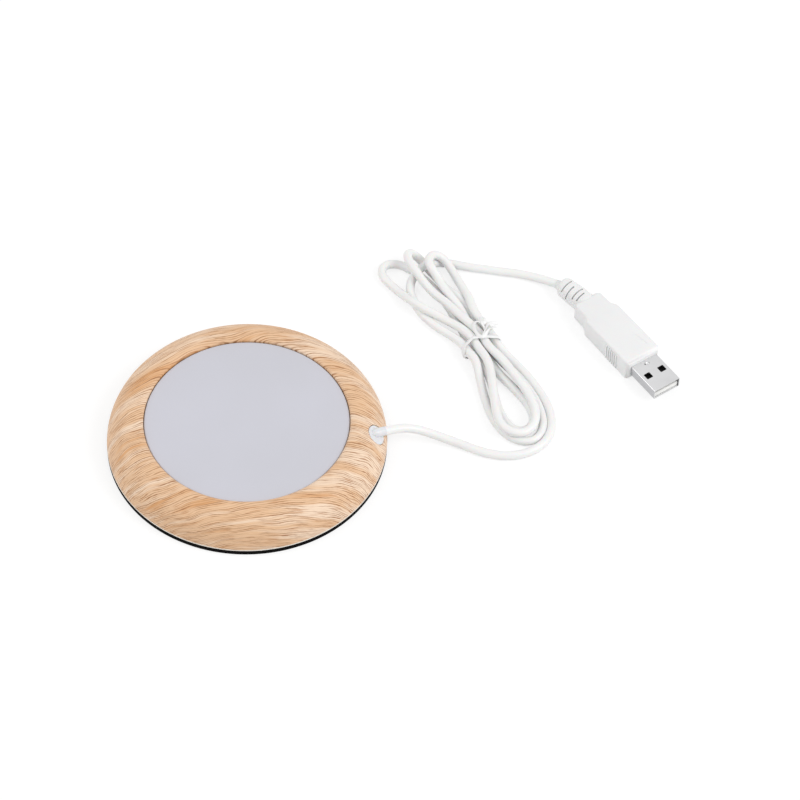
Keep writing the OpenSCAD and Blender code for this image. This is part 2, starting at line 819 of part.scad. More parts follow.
module cord_strap() {
    inner = cord_diameter / 2;
    outer = inner + strap_thickness;
    ear_z = base_top_z + strap_pad_height;
    reach = strap_screw_offset + strap_pad_diameter / 2;
    color("#b8b8bc")
    difference() {
        union() {
            translate([strap_x - strap_length / 2, tail_y, tail_z])
                rotate([0, 90, 0]) cylinder(h = strap_length, r = outer, $fn = fine);
            translate([strap_x - strap_length / 2, tail_y - outer, ear_z])
                cube([strap_length, 2 * outer, tail_z - ear_z]);
            translate([strap_x - strap_length / 2, tail_y - reach, ear_z])
                cube([strap_length, 2 * reach, strap_thickness]);
        }
        translate([strap_x - strap_length / 2 - join, tail_y, tail_z])
            rotate([0, 90, 0]) cylinder(h = strap_length + 2 * join, r = inner, $fn = fine);
        translate([strap_x - strap_length / 2 - join, tail_y - inner, base_top_z - join])
            cube([strap_length + 2 * join, 2 * inner, tail_z - base_top_z + join]);
        translate([strap_x - strap_length / 2 - join, tail_y - reach - join, base_top_z - outer])
            cube([strap_length + 2 * join, 2 * reach + 2 * join, outer + strap_pad_height]);
        for (side = [-1, 1])
            translate([strap_x, tail_y + side * strap_screw_offset, ear_z - join])
                cylinder(h = strap_thickness + 2 * join, d = small_screw_diameter + screw_clearance,
                    $fn = coarse);
    }
}

module cord_strap_screws() {
    color("#b8b8bc")
    for (side = [-1, 1])
        translate([
            strap_x,
            tail_y + side * strap_screw_offset,
            base_top_z + strap_pad_height + strap_thickness
        ])
            rotate([180, 0, 0]) pan_screw(small_screw_diameter, clamp_screw_length, small_head_height);
}

module cord_grommet() {
    flange_radius = grommet_diameter / 2 + grommet_flange;
    color("#e6e8ee")
    difference() {
        union() {
            at_grommet() {
                translate([0, 0, -grommet_depth - join])
                    cylinder(h = grommet_depth + join, d = grommet_diameter, $fn = fine);
                translate([0, 0, -grommet_back])
                    cylinder(h = grommet_flange_thickness, r = flange_radius, $fn = fine);
            }
            along_spout()
                cylinder(h = spout_length, d = cord_diameter + 2 * spout_wall, $fn = fine);
        }
        at_grommet()
            translate([0, 0, -grommet_depth - 4 * grommet_flange_thickness])
                cylinder(h = grommet_depth + 4 * grommet_flange_thickness - grommet_cap, d = cord_diameter,
                    $fn = fine);
        at_grommet()
            translate([0, 0, -grommet_back - 2 * flange_radius])
                cylinder(h = 2 * flange_radius, r = 2 * flange_radius, $fn = fine);
    }
}

// ---- cord outside ----

module cord_lead() {
    color("#f4f4f2") plain_cord(cord_lead_route);
}

module plug_cord() {
    color("#f4f4f2") plain_cord(plug_cord_route);
}

// A block that cuts the hank flat where a cord meets it, behind the plane through a point
module cord_cut(point, toward) {
    depth = 8;
    width = 2.4 * cord_diameter;
    translate([point[0], point[1], -join])
        rotate(atan2(toward[1], toward[0]))
            translate([0, -width / 2, 0]) cube([depth, width, hank_height + 2 * join]);
}

module hank_outline() {
    for (end = concat(hank_upper, hank_lower))
        translate([end[0], end[1]]) circle(r = end[2], $fn = fine);
    polygon(concat(
        [hank_waist_left],
        hank_lower_left,
        [[hank_lower[0][0], hank_lower[0][1]]],
        hank_lower_right,
        [hank_waist_right],
        [for (i = [len(hank_upper_right) - 1:-1:0]) hank_upper_right[i]],
        [[hank_upper[1][0], hank_upper[1][1]], [hank_upper[0][0], hank_upper[0][1]]],
        [for (i = [len(hank_upper_left) - 1:-1:0]) hank_upper_left[i]]
    ));
}

module cord_hank() {
    lead_end = cord_lead_route[len(cord_lead_route) - 1];
    lead_before = cord_lead_route[len(cord_lead_route) - 2];
    plug_start = plug_cord_route[0];
    plug_next = plug_cord_route[1];
    far = 60;
    color("#efefec")
    difference() {
        linear_extrude(hank_height) hank_outline();
        cord_cut(lead_end, lead_before - lead_end);
        cord_cut(plug_start, plug_next - plug_start);
        at_tie()
            difference() {
                translate([-tie_width / 2 - tie_clearance, -far / 2, -join])
                    cube([tie_width + 2 * tie_clearance, far, hank_height + 2 * join]);
                translate([-tie_width, -waist_width / 2, waist_bottom])
                    cube([2 * tie_width, waist_width, waist_top - waist_bottom]);
            }
    }
}

module twist_tie() {
    inner_width = waist_width + 2 * tie_clearance;
    inner_bottom = waist_bottom - tie_clearance / 2;
    inner_top = waist_top + tie_clearance;
    inner_height = inner_top - inner_bottom;
    color("#f6f6f6") {
        at_tie()
            difference() {
                translate([-tie_width / 2, -inner_width / 2 - tie_thickness, inner_bottom - tie_thickness])
                    cube([tie_width, inner_width + 2 * tie_thickness, inner_height + 2 * tie_thickness]);
                translate([-tie_width, -inner_width / 2, inner_bottom])
                    cube([2 * tie_width, inner_width, inner_height]);
            }
        wire(concat([[tie_centre[0], tie_centre[1], inner_top + tie_thickness / 2]], tie_twist_route),
            tie_twist_diameter);
        wire(tie_tail_route, tie_twist_diameter * 0.75);
    }
}

// ---- plug ----

module plug_relief() {
    color("#e4e4e4")
    difference() {
        swept_tube(relief_route, relief_radii, relief_sides);
        at_plug()
            for (slot = slot_places)
                translate([
                    neck_end_x - slot[0] - slot_width,
                    slot[1] - slot_length / 2,
                    lookup(slot[0], relief_top) - slot_depth
                ])
                    cube([slot_width, slot_length, body_height]);
    }
}

// One upright slice of the plug's body, as wide and as high as it is there
module body_slice(x, width, height) {
    translate([x, 0, body_height / 2])
        rotate([90, 0, 90])
            linear_extrude(slice, center = true) rounded_rectangle(width, height, body_round);
}

module plug_body() {
    color("#ececec")
    at_plug()
        difference() {
            union() {
                hull() {
                    body_slice(body_front_x - slice / 2, body_width - 2 * body_bevel,
                        body_height - 2 * body_top_bevel);
                    body_slice(body_front_x - body_bevel, body_width, body_height);
                    body_slice(body_shoulder_x, body_width, body_height - body_taper);
                }
                hull() {
                    body_slice(body_shoulder_x, body_width, body_height - body_taper);
                    body_slice(neck_front_x, neck_width, neck_height);
                }
                hull() {
                    body_slice(neck_front_x, neck_width, neck_height);
                    body_slice(neck_end_x + neck_bevel, neck_width - neck_taper, neck_height - neck_taper);
                    body_slice(neck_end_x + slice / 2, neck_width - 2 * neck_bevel,
                        neck_height - neck_bevel);
                }
                for (side = [-1, 1], i = [0:rib_count - 1])
                    translate([
                        body_front_x - rib_setback - i * rib_pitch,
                        side * (body_width / 2 + rib_size / 2 - join / 2),
                        body_height / 2
                    ])
                        cube([rib_size, rib_size + join, body_height - 2 * body_top_bevel], center = true);
            }
            translate([body_front_x - shell_root, -shell_width / 2, shell_z - shell_height / 2])
                cube([shell_root + join, shell_width, shell_height]);
        }
}

module plug_shell() {
    length = shell_length + shell_root;
    color("#b9babd")
    at_plug()
        translate([0, 0, shell_z])
            difference() {
                translate([-length, -shell_width / 2, -shell_height / 2])
                    cube([length, shell_width, shell_height]);
                translate([-length - join, -shell_width / 2 + shell_wall, -shell_height / 2 + shell_wall])
                    cube([length + 2 * join, shell_width - 2 * shell_wall, shell_height - 2 * shell_wall]);
                for (side = [-1, 1])
                    translate([-window_setback, side * window_offset, 0])
                        cube([shell_window, shell_window, 2 * shell_height], center = true);
            }
}

module plug_tongue() {
    length = shell_length + shell_root - tongue_setback;
    color("#f2f2f0")
    at_plug()
        translate([-tongue_setback - length, -tongue_width / 2, tongue_bottom_z])
            cube([length, tongue_width, tongue_thickness]);
}

module plug_contacts() {
    color("#d8b25a")
    at_plug()
        for (side = [-1, 1], offset = [inner_contact_offset, contact_offset])
            translate([-contact_setback - contact_length, side * offset - contact_width / 2, tongue_top_z])
                cube([contact_length, contact_width, contact_thickness]);
}

trim_ring();
heating_plate();
plate_seal();
thermal_pad();
heater_film();
heater_track();
solder_joints();
insulation_disc();
thermal_cutout();
clamp_plate();
clamp_plate_screws();
positive_wire();
negative_wire();
cutout_wire();
cord_tail();
cord_strap();
cord_strap_screws();
base_plate();
base_screws();
foot_pad();
cord_grommet();
cord_lead();
cord_hank();
plug_cord();
twist_tie();
plug_relief();
plug_body();
plug_shell();
plug_tongue();
plug_contacts();
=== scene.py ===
"""Round electric mug warmer with its tied lead and flat plug, dressed for rendering.

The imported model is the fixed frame. Every piece below stands where that frame says, in metres:
+Z up out of the heating plate, +X towards the side that the lead leaves from, +Y to the back.
"""

import sys

import logging
from dataclasses import dataclass, field, replace
from enum import Enum
from math import cos, pi, radians, sin, tau
from typing import Callable, Iterable, Optional, Sequence

import bmesh
import bpy
import numpy as np
from bpy.types import ID, Material, Node, NodeSocket, NodeTree, Object, World
from mathutils import Matrix, Vector


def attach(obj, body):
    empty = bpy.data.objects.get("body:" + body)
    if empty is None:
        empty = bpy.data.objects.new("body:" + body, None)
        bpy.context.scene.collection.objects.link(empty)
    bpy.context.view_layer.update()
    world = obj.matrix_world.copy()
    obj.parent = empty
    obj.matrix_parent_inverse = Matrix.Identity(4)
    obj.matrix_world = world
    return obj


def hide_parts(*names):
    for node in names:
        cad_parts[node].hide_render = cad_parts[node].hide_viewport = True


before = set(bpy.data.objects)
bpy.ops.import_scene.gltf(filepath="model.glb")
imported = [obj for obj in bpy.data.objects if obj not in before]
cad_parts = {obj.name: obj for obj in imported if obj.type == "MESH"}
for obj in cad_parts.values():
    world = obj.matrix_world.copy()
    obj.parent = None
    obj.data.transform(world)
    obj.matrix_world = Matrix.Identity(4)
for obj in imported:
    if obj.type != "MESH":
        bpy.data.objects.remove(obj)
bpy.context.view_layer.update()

MM = 0.001
BODY = "root"
# Fine noise is turned by this, so that its lattice doesn't lie along an axis.
LATTICE_TURN = radians(36.3)
# Sockets of a Mix node that mixes colours: share, colour under, colour over, and the result.
MIX_SHARE, MIX_UNDER, MIX_OVER, MIX_RESULT = 0, 6, 7, 2
# Radius in millimetres of the small face that closes a turned piece at its axis.
HEART = 0.05
# A face's normal or an edge counts as lying along an axis from this share on.
ALONG = 0.9

logging.basicConfig(level=logging.INFO, format="%(name)s: %(message)s", stream=sys.stdout)
log = logging.getLogger("mug_warmer")

Point = tuple[float, float, float]
# A point of the lead in metres; without a height it lies on the table.
Spot = tuple[float, ...]
Profile = Sequence[tuple[float, float]]
# Gets a bmesh vertex, edge or face, and tells whether it is wanted.
Test = Callable[[object], bool]


# ---------------------------------------------------------------- colours and shader nodes


def linear(code: str) -> tuple[float, float, float, float]:
    """Turns an sRGB hex colour into linear RGBA.

    Args:
        code: the colour as "#RRGGBB".

    Returns:
        Red, green, blue and alpha, linear, from 0 to 1.
    """
    channels = [int(code[i : i + 2], 16) / 255 for i in (1, 3, 5)]
    red, green, blue = (c / 12.92 if c <= 0.04045 else ((c + 0.055) / 1.055) ** 2.4 for c in channels)
    return (red, green, blue, 1.0)


def add_node(
    tree: NodeTree, kind: str, values: Optional[dict] = None, links: Optional[dict] = None,
    **settings: object,
) -> Node:
    """Adds one shader node with its settings, socket values and links.

    Args:
        tree: the node tree.
        kind: the node's type name, without its "ShaderNode".
        values: value of each input socket, by name or number.
        links: what feeds each input socket: an output socket, or a node for its first output.
        settings: the node's own properties.

    Returns:
        The new node.
    """
    node = tree.nodes.new("ShaderNode" + kind)
    for name, value in settings.items():
        setattr(node, name, value)
    for socket, value in (values or {}).items():
        node.inputs[socket].default_value = value
    for socket, source in (links or {}).items():
        output = source.outputs[0] if isinstance(source, Node) else source
        tree.links.new(output, node.inputs[socket])
    return node


def empty_tree(data: Material | World) -> NodeTree:
    """Gives the node tree of a new material or world, with nothing in it.

    Args:
        data: the material or world.

    Returns:
        Its node tree.
    """
    data.use_nodes = True
    data.node_tree.nodes.clear()
    return data.node_tree


def set_ramp(node: Node, stops: Sequence[tuple[float, str]]) -> Node:
    """Writes the stops of a colour ramp.

    Args:
        node: the colour ramp node.
        stops: place from 0 to 1 and sRGB hex colour of each stop.

    Returns:
        The same node.
    """
    ramp = node.color_ramp
    while len(ramp.elements) > len(stops):
        ramp.elements.remove(ramp.elements[-1])
    while len(ramp.elements) < len(stops):
        ramp.elements.new(1.0)
    for element, (place, code) in zip(ramp.elements, stops):
        element.position = place
        element.color = linear(code)
    return node


# ---------------------------------------------------------------- finishes


class Texture(Enum):
    """How a finish's fine texture lies: how far its noise is drawn out along X, Y and Z."""

    # Even grain, as moulded or sprayed.
    GRAIN = (1, 1, 1)
    # Fine parallel lines, as rolled or drawn.
    BRUSHED = (1, 40, 40)
    # Short fibres, as pressed felt.
    FIBRE = (1, 6, 1)


@dataclass(frozen=True)
class Finish:
    """A surface: what it is made of, how it was made and what that shows.

    Lengths are in millimetres on the real object. Where its pattern is strong a finish is rougher,
    and it stands out there, or is pressed in if it is embossed.
    """

    name: str
    slot: str
    colour: str
    second_colour: str
    mottle: float = 20.0
    roughness: float = 0.5
    roughness_spread: float = 0.08
    metallic: float = 0.0
    ior: float = 1.5
    texture: Texture = Texture.GRAIN
    grain: float = 0.3
    relief: float = 0.01
    coat: float = 0.0
    sheen: float = 0.0
    subsurface: float = 0.0
    embossed: bool = False

    def start(self) -> tuple[NodeTree, Node, Node]:
        """Makes the material with its shader and a position in millimetres.

        Returns:
            The node tree, the shader and the node of the position.
        """
        tree = empty_tree(bpy.data.materials.new(self.name))
        values = {
            "Metallic": self.metallic, "Coat Weight": self.coat, "Sheen Weight": self.sheen,
            "Subsurface Weight": self.subsurface, "Subsurface Scale": MM,
        }
        if not self.metallic:
            values["IOR"] = self.ior
        shader = add_node(tree, "BsdfPrincipled", values)
        add_node(tree, "OutputMaterial", links={"Surface": shader})
        place = add_node(tree, "TexCoord").outputs["Object"]
        return tree, shader, add_node(tree, "VectorMath", {"Scale": 1 / MM}, {0: place}, operation="SCALE")

    def pattern(self, tree: NodeTree, position: Node) -> tuple[NodeSocket, Node]:
        """Makes the colour, two shades that drift into each other, and the fine texture.

        Args:
            tree: the node tree.
            position: the position in millimetres.

        Returns:
            Output socket of the colour, and the node of the texture's height from 0 to 1.
        """
        values = {"Scale": 1 / self.mottle, "Detail": 2.0, "Roughness": 0.5}
        cloud = add_node(tree, "TexNoise", values, {"Vector": position})
        ramp = add_node(tree, "ValToRGB", links={"Fac": cloud})
        set_ramp(ramp, [(0.3, self.colour), (0.7, self.second_colour)])
        scale = [1 / self.grain / stretch for stretch in self.texture.value]
        values = {"Rotation": (0.0, 0.0, LATTICE_TURN), "Scale": scale}
        turned = add_node(tree, "Mapping", values, {"Vector": position})
        values = {"Scale": 1.0, "Detail": 3.0, "Roughness": 0.6}
        return ramp.outputs["Color"], add_node(tree, "TexNoise", values, {"Vector": turned})

    def build(self) -> Material:
        """Makes the material, or returns it if it is made already.

        Returns:
            The material.
        """
        if self.name in bpy.data.materials:
            return bpy.data.materials[self.name]
        tree, shader, position = self.start()
        colour, height = self.pattern(tree, position)
        low = self.roughness if self.embossed else self.roughness - self.roughness_spread
        values = {"To Min": low, "To Max": self.roughness + self.roughness_spread}
        rough = add_node(tree, "MapRange", values, {"Value": height})
        values = {"Strength": 1.0, "Distance": self.relief * MM}
        bump = add_node(tree, "Bump", values, {"Height": height}, invert=self.embossed)
        sources = {"Base Color": colour, "Roughness": rough.outputs[0], "Normal": bump.outputs[0]}
        for name, source in sources.items():
            tree.links.new(source, shader.inputs[name])
        return bpy.data.materials[self.name]


@dataclass(frozen=True)
class WoodPrint(Finish):
    """ABS with a printed wood grain: long fine lines pulled over the dome with the film.

    The film is drawn over the dome from its middle, so the grain keeps its pitch down the slope.
    """

    pale: str = "#F2D7BC"
    line: str = "#A47046"
    streak: str = "#BC7A42"
    rim: str = "#F4EDE2"
    rim_top: float = 2.85
    # Painted sheen: the print is painted paler with the square of the distance from a line left of the
    # middle, most on the right where the light falls on the dome.
    painted_sheen_offset: float = 16.0
    painted_sheen_paling: float = 0.00005
    # Growth lines, one to each pitch, and how far noise shifts them, where tau is a pitch.
    line_pitch: float = 0.92
    wrinkling: float = 12.0
    # The grain's arch about a line right of the middle, and how far and how long it wanders.
    arch: float = 0.006
    arch_middle: float = 20.0
    wander: float = 3.5
    wander_length: float = 26.0
    # The dome's crest, the radii between which the unrolling sets in, and its strength.
    crest_height: float = 15.0
    crest_inner: float = 40.5
    crest_outer: float = 42.5
    unrolled: float = 1.2

    def flat_position(self, tree: NodeTree, position: Node) -> Node:
        """Unrolls the dome: a point is moved outwards by how far it lies below the crest.

        Args:
            tree: the node tree.
            position: the position in millimetres.

        Returns:
            Node of the unrolled position, at height 0.
        """
        level = add_node(tree, "VectorMath", {1: (1.0, 1.0, 0.0)}, {0: position}, operation="MULTIPLY")
        radius = add_node(tree, "VectorMath", links={0: level}, operation="LENGTH").outputs["Value"]
        split = add_node(tree, "SeparateXYZ", links={"Vector": position})
        links = {1: split.outputs["Z"]}
        drop = add_node(tree, "Math", {0: self.crest_height}, links, operation="SUBTRACT")
        share = add_node(tree, "Math", links={0: drop, 1: radius}, operation="DIVIDE")
        values = {"From Min": self.crest_inner, "From Max": self.crest_outer, "To Max": self.unrolled}
        pull = add_node(tree, "MapRange", values, {"Value": radius})
        factor = add_node(tree, "Math", {2: 1.0}, {0: share, 1: pull}, operation="MULTIPLY_ADD")
        return add_node(tree, "VectorMath", links={0: level, "Scale": factor}, operation="SCALE")

    def pattern(self, tree: NodeTree, position: Node) -> tuple[NodeSocket, Node]:
        """Draws the print: bands of wood, growth lines and streaks over them, and the pale band at the
        foot.

        Args:
            tree: the node tree.
            position: the position in millimetres.

        Returns:
            Output socket of the colour, and the node of how far the print is pressed in.
        """
        flat = self.flat_position(tree, position)
        x, _, z = add_node(tree, "SeparateXYZ", links={"Vector": position}).outputs
        # The grain arches across the ring and wanders a little on its way.
        aside = add_node(tree, "Math", {1: self.arch_middle}, {0: x}, operation="SUBTRACT")
        square = add_node(tree, "Math", {1: 2.0}, {0: aside}, operation="POWER")
        values = {"Scale": 1 / self.wander_length, "Detail": 1.0}
        drift = add_node(tree, "TexNoise", values, {"Vector": flat}, noise_dimensions="2D")
        values = {"To Min": -self.wander, "To Max": self.wander}
        sway = add_node(tree, "MapRange", values, {"Value": drift})
        lift = add_node(tree, "Math", {1: self.arch}, {0: square, 2: sway}, operation="MULTIPLY_ADD")
        shift = add_node(tree, "CombineXYZ", links={"Y": lift})
        wavy = add_node(tree, "VectorMath", links={0: flat, 1: shift}, operation="ADD")
        # Noise stretched along the grain: its size along and across, shift, detail and roughness.
        noise = {}
        for name, size, away, detail, roughness in (
            ("bands", (60.0, 5.5), (0.0, 0.0), 2.0, 0.55), ("wrinkles", (13.0, 2.6), (0.0, 0.0), 3.0, 0.55),
            ("fading", (13.0, 1.6), (5.3, 1.9), 2.0, 0.5), ("streaks", (9.0, 0.5), (3.1, 7.7), 1.5, 0.5),
        ):
            values = {"Location": (*away, 0.0), "Scale": (1 / size[0], 1 / size[1], 1.0)}
            place = add_node(tree, "Mapping", values, {"Vector": wavy})
            values = {"Scale": 1.0, "Detail": detail, "Roughness": roughness}
            noise[name] = add_node(tree, "TexNoise", values, {"Vector": place}, noise_dimensions="2D")
        # Broad bands of early and late wood, with a painted sheen that makes them paler towards both sides,
        # and more to the right.
        across = add_node(tree, "Math", {1: self.painted_sheen_offset}, {0: x}, operation="ADD")
        outward = add_node(tree, "Math", {1: 2.0}, {0: across}, operation="POWER")
        links = {0: outward, 2: noise["bands"]}
        tone = add_node(tree, "Math", {1: self.painted_sheen_paling}, links, operation="MULTIPLY_ADD")
        ground = add_node(tree, "ValToRGB", links={"Fac": tone})
        shades = self.second_colour, self.colour, self.colour, self.pale
        set_ramp(ground, list(zip((0.31, 0.43, 0.54, 0.71), shades)))
        # Growth lines: one to each pitch, wrinkled, and each fading in and out along its way.
        y = add_node(tree, "SeparateXYZ", links={"Vector": wavy}).outputs["Y"]
        bend = add_node(tree, "Math", {1: self.wrinkling}, {0: noise["wrinkles"]}, operation="MULTIPLY")
        values = {1: tau / self.line_pitch}
        phase = add_node(tree, "Math", values, {0: y, 2: bend}, operation="MULTIPLY_ADD")
        wave = add_node(tree, "Math", links={0: phase}, operation="SINE")
        # Masks: what each is read from, where it sets in and is full, and its least and most.
        masks = []
        for source, start, full, least, most in (
            (wave, 0.0, 1.0, 0.0, 1.0), (noise["fading"], 0.36, 0.64, 0.2, 0.95),
            (noise["streaks"], 0.6, 0.78, 0.0, 0.7),
        ):
            values = {"From Min": start, "From Max": full, "To Min": least, "To Max": most}
            links = {"Value": source}
            masks.append(add_node(tree, "MapRange", values, links, interpolation_type="SMOOTHSTEP"))
        strokes, strength, streaks = masks
        lines = add_node(tree, "Math", links={0: strokes, 1: strength}, operation="MULTIPLY")
        # Below a height just above the lower edge the ring is coloured a pale cream.
        rim_band = add_node(tree, "Math", {1: self.rim_top}, {0: z}, operation="LESS_THAN")
        # Lines, then orange-brown streaks up to a centimetre long, then the rim, over the ground.
        colour = ground.outputs["Color"]
        for mask, code in ((lines, self.line), (streaks, self.streak), (rim_band, self.rim)):
            values, links = {MIX_OVER: linear(code)}, {MIX_SHARE: mask, MIX_UNDER: colour}
            colour = add_node(tree, "Mix", values, links, data_type="RGBA").outputs[MIX_RESULT]
        # The print is embossed: lines and streaks are pressed in by some hundredths of a millimetre.
        return colour, add_node(tree, "Math", links={0: lines, 1: streaks}, operation="ADD")


# Printed ABS: a satin skin with an embossed oak grain, so the ring reads as pale varnished wood.
WOOD = WoodPrint(
    "printed_abs_oak_grain", "wood_print", "#E7BF98", "#DAA26D",
    roughness=0.48, roughness_spread=0.12, relief=0.07, ior=1.53, embossed=True,
)
# Sprayed matte coat on pressed aluminium: an even cool grey with the faint tooth of the spray.
PLATE_PAINT = Finish(
    "sprayed_matte_coat_on_aluminium", "plate_paint", "#CACAD3", "#C7C7CF",
    mottle=35.0, roughness=0.55, roughness_spread=0.06, grain=0.25, relief=0.006,
)
# Moulded silicone gasket: a dark, dull line in the joint between plate and ring.
SEAL = Finish(
    "moulded_silicone_seal", "seal_rubber", "#33261E", "#2A1F19",
    mottle=8.0, roughness=0.7, grain=0.2, relief=0.01, ior=1.43,
)
# Filled silicone gap pad: soft blue-grey with a slightly rough, uneven skin.
GAP_PAD = Finish(
    "filled_silicone_gap_pad", "pad_silicone", "#93A5AE", "#8698A2",
    mottle=10.0, roughness=0.62, grain=0.5, relief=0.02, ior=1.43,
)
# Polyimide film: clear amber, glossy, with the ripple of a thin laminated sheet.
AMBER_FILM = Finish(
    "laminated_polyimide_film", "film_polyimide", "#B86A22", "#A65A18",
    mottle=14.0, roughness=0.18, roughness_spread=0.05, grain=2.0, relief=0.01, coat=0.5, ior=1.7,
)
# Etched alloy foil: dull silver with the fine tooth that etching leaves.
ETCHED_FOIL = Finish(
    "etched_resistance_foil", "track_metal", "#BDB6A4", "#ADA693",
    mottle=6.0, roughness=0.38, metallic=1.0, grain=0.15, relief=0.006,
)
# Solder: bright domes with a slightly crazed skin.
SOLDER = Finish(
    "flowed_tin_solder", "solder", "#C9CCCE", "#B4B8BA",
    mottle=1.2, roughness=0.25, metallic=1.0, grain=0.6, relief=0.02,
)
# Needled mineral felt: off-white and dull, with the streaks of short fibres.
FELT = Finish(
    "needled_mineral_felt", "insulation_felt", "#E8E4D8", "#DAD4C4",
    mottle=5.0, roughness=0.95, roughness_spread=0.04, texture=Texture.FIBRE, grain=0.25, relief=0.08,
    sheen=0.3,
)
# Spark-eroded black ABS: near black, with an even fine grain that kills the gloss.
BLACK_ABS = Finish(
    "spark_grained_black_abs", "black_plastic", "#161617", "#121213",
    mottle=18.0, roughness=0.6, grain=0.25, relief=0.015, ior=1.53,
)
# Mill-finish aluminium sheet: fine rolling lines all one way.
MILL_SHEET = Finish(
    "rolled_aluminium_sheet", "clamp_metal", "#D2D4D6", "#C6C8CB",
    mottle=22.0, roughness=0.33, metallic=1.0, texture=Texture.BRUSHED, grain=0.12, relief=0.004,
)
# Zinc-plated steel: a cool grey that turns faintly warm in patches.
ZINC_STEEL = Finish(
    "zinc_plated_steel", "screw_steel", "#B9BCC2", "#AFAFA8",
    mottle=2.5, roughness=0.3, metallic=1.0, grain=0.2, relief=0.005,
)
# Extruded PVC insulation, red and black: glossy, with the long waves of the die.
RED_WIRE = Finish(
    "extruded_red_pvc", "wire_red", "#B3241C", "#A61E17",
    mottle=6.0, roughness=0.3, grain=0.8, relief=0.01, ior=1.53,
)
BLACK_WIRE = Finish(
    "extruded_black_pvc", "wire_black", "#1B1B1C", "#151516",
    mottle=6.0, roughness=0.3, grain=0.8, relief=0.01, ior=1.53,
)
# Soft white PVC jacket: satin, a little translucent, with the slight waviness of a drawn tube.
JACKET = Finish(
    "extruded_soft_white_pvc", "cord_jacket", "#F0F0EF", "#EDEDEC",
    mottle=14.0, roughness=0.38, roughness_spread=0.05, grain=0.9, relief=0.012, ior=1.53, subsurface=0.15,
)
# Closed-cell rubber foot: matte black with the tooth that grips a desk.
FOOT_RUBBER = Finish(
    "cast_rubber_foot", "pad_rubber", "#070606", "#050404",
    mottle=12.0, roughness=0.85, grain=0.35, relief=0.02, ior=1.2,
)
# Moulded nylon bush: cool white, slightly milky, with a polished rim.
BUSH_NYLON = Finish(
    "moulded_nylon_bush", "grommet_plastic", "#E3E3E6", "#DFE0E3",
    mottle=5.0, roughness=0.32, roughness_spread=0.04, grain=0.4, relief=0.004, ior=1.53, subsurface=0.1,
)
# Paper-thin plastic over a wire: white, satin, with a slight ripple where it was bent.
TIE_PLASTIC = Finish(
    "plastic_coated_tie_wire", "tie_plastic", "#F4F4F4", "#EEEEEE",
    mottle=4.0, roughness=0.42, grain=0.8, relief=0.03, ior=1.5,
)
# Overmoulded PVC: white with the fine grain of a sandblasted mould.
PLUG_PVC = Finish(
    "overmoulded_white_pvc", "plug_plastic", "#ECECEC", "#E9E9E9",
    mottle=16.0, roughness=0.45, roughness_spread=0.05, grain=0.22, relief=0.01, ior=1.53, subsurface=0.06,
)
# Nickel-plated strip steel: soft reflections along the rolling lines.
NICKEL_STEEL = Finish(
    "nickel_plated_strip_steel", "shell_steel", "#DCDCDD", "#D4D4D5",
    mottle=9.0, roughness=0.3, roughness_spread=0.07, metallic=1.0, texture=Texture.BRUSHED, grain=0.1,
    relief=0.003,
)
# The same strip on the side walls in a darker, greyer colour: painted shade for the shade that falls on the
# shell's sides.
SHADED_WALL_STEEL = replace(
    NICKEL_STEEL, name="drawn_nickel_strip_wall", colour="#C2C2C4", second_colour="#B6B6B9",
)
# Glass-filled white carrier: clean white with a faint flow pattern.
CARRIER = Finish(
    "glass_filled_white_carrier", "tongue_plastic", "#F4F4F2", "#EDEDEA",
    mottle=3.0, roughness=0.4, grain=0.3, relief=0.008, ior=1.55,
)
# Gold flash over nickel: warm and bright where the contacts wipe.
GOLD_FLASH = Finish(
    "gold_flashed_contact", "contact_metal", "#E2B867", "#D6A856",
    mottle=2.0, roughness=0.22, metallic=1.0, texture=Texture.BRUSHED, grain=0.08, relief=0.002,
)


# ---------------------------------------------------------------- modelling by hand


class Element(Enum):
    """What a selection in edit mode is made of."""

    VERT = "verts"
    EDGE = "edges"
    FACE = "faces"


def clear_selection() -> None:
    """Leaves edit mode and deselects every object."""
    if bpy.context.mode != "OBJECT":
        bpy.ops.object.mode_set(mode="OBJECT")
    bpy.ops.object.select_all(action="DESELECT")


def take(piece: Object) -> None:
    """Makes one object the only selected one and the active one.

    Args:
        piece: the object.
    """
    clear_selection()
    piece.select_set(True)
    bpy.context.view_layer.objects.active = piece


def named(name: str) -> Object:
    """Names the object just added and its data.

    Args:
        name: the name.

    Returns:
        The object.
    """
    piece = bpy.context.active_object
    piece.name = name
    piece.data.name = name
    return piece


def added(name: str, data: ID) -> Object:
    """Makes an object of some data and adds it to the scene.

    Args:
        name: the object's name.
        data: its mesh, curve, camera or light.

    Returns:
        The object.
    """
    piece = bpy.data.objects.new(name, data)
    bpy.context.scene.collection.objects.link(piece)
    return piece


def edit(piece: Object) -> None:
    """Opens one object in edit mode."""
    take(piece)
    bpy.ops.object.mode_set(mode="EDIT")


def leave_edit() -> None:
    """Goes back to object mode."""
    bpy.ops.object.mode_set(mode="OBJECT")


def close_up(weld: float = 0.0) -> None:
    """Turns all faces outwards and leaves edit mode.

    Args:
        weld: points nearer than this, in millimetres, are made one first.
    """
    bpy.ops.mesh.select_all(action="SELECT")
    if weld:
        bpy.ops.mesh.remove_doubles(threshold=weld * MM)
    bpy.ops.mesh.normals_make_consistent(inside=False)
    leave_edit()


def extrude(offset: Point) -> None:
    """Extrudes what is selected by an offset in millimetres."""
    bpy.ops.mesh.extrude_region_move(TRANSFORM_OT_translate={"value": [c * MM for c in offset]})


def resize(factors: Point, centre: Point = (0, 0, 0)) -> None:
    """Scales what is selected about a point in millimetres."""
    bpy.ops.transform.resize(value=factors, center_override=[c * MM for c in centre])


def lies_along(edge: bmesh.types.BMEdge, axis: int) -> float:
    """Gives how far an edge lies along an axis: 0 is square to it, 1 is parallel."""
    return abs((edge.verts[0].co - edge.verts[1].co).normalized()[axis])


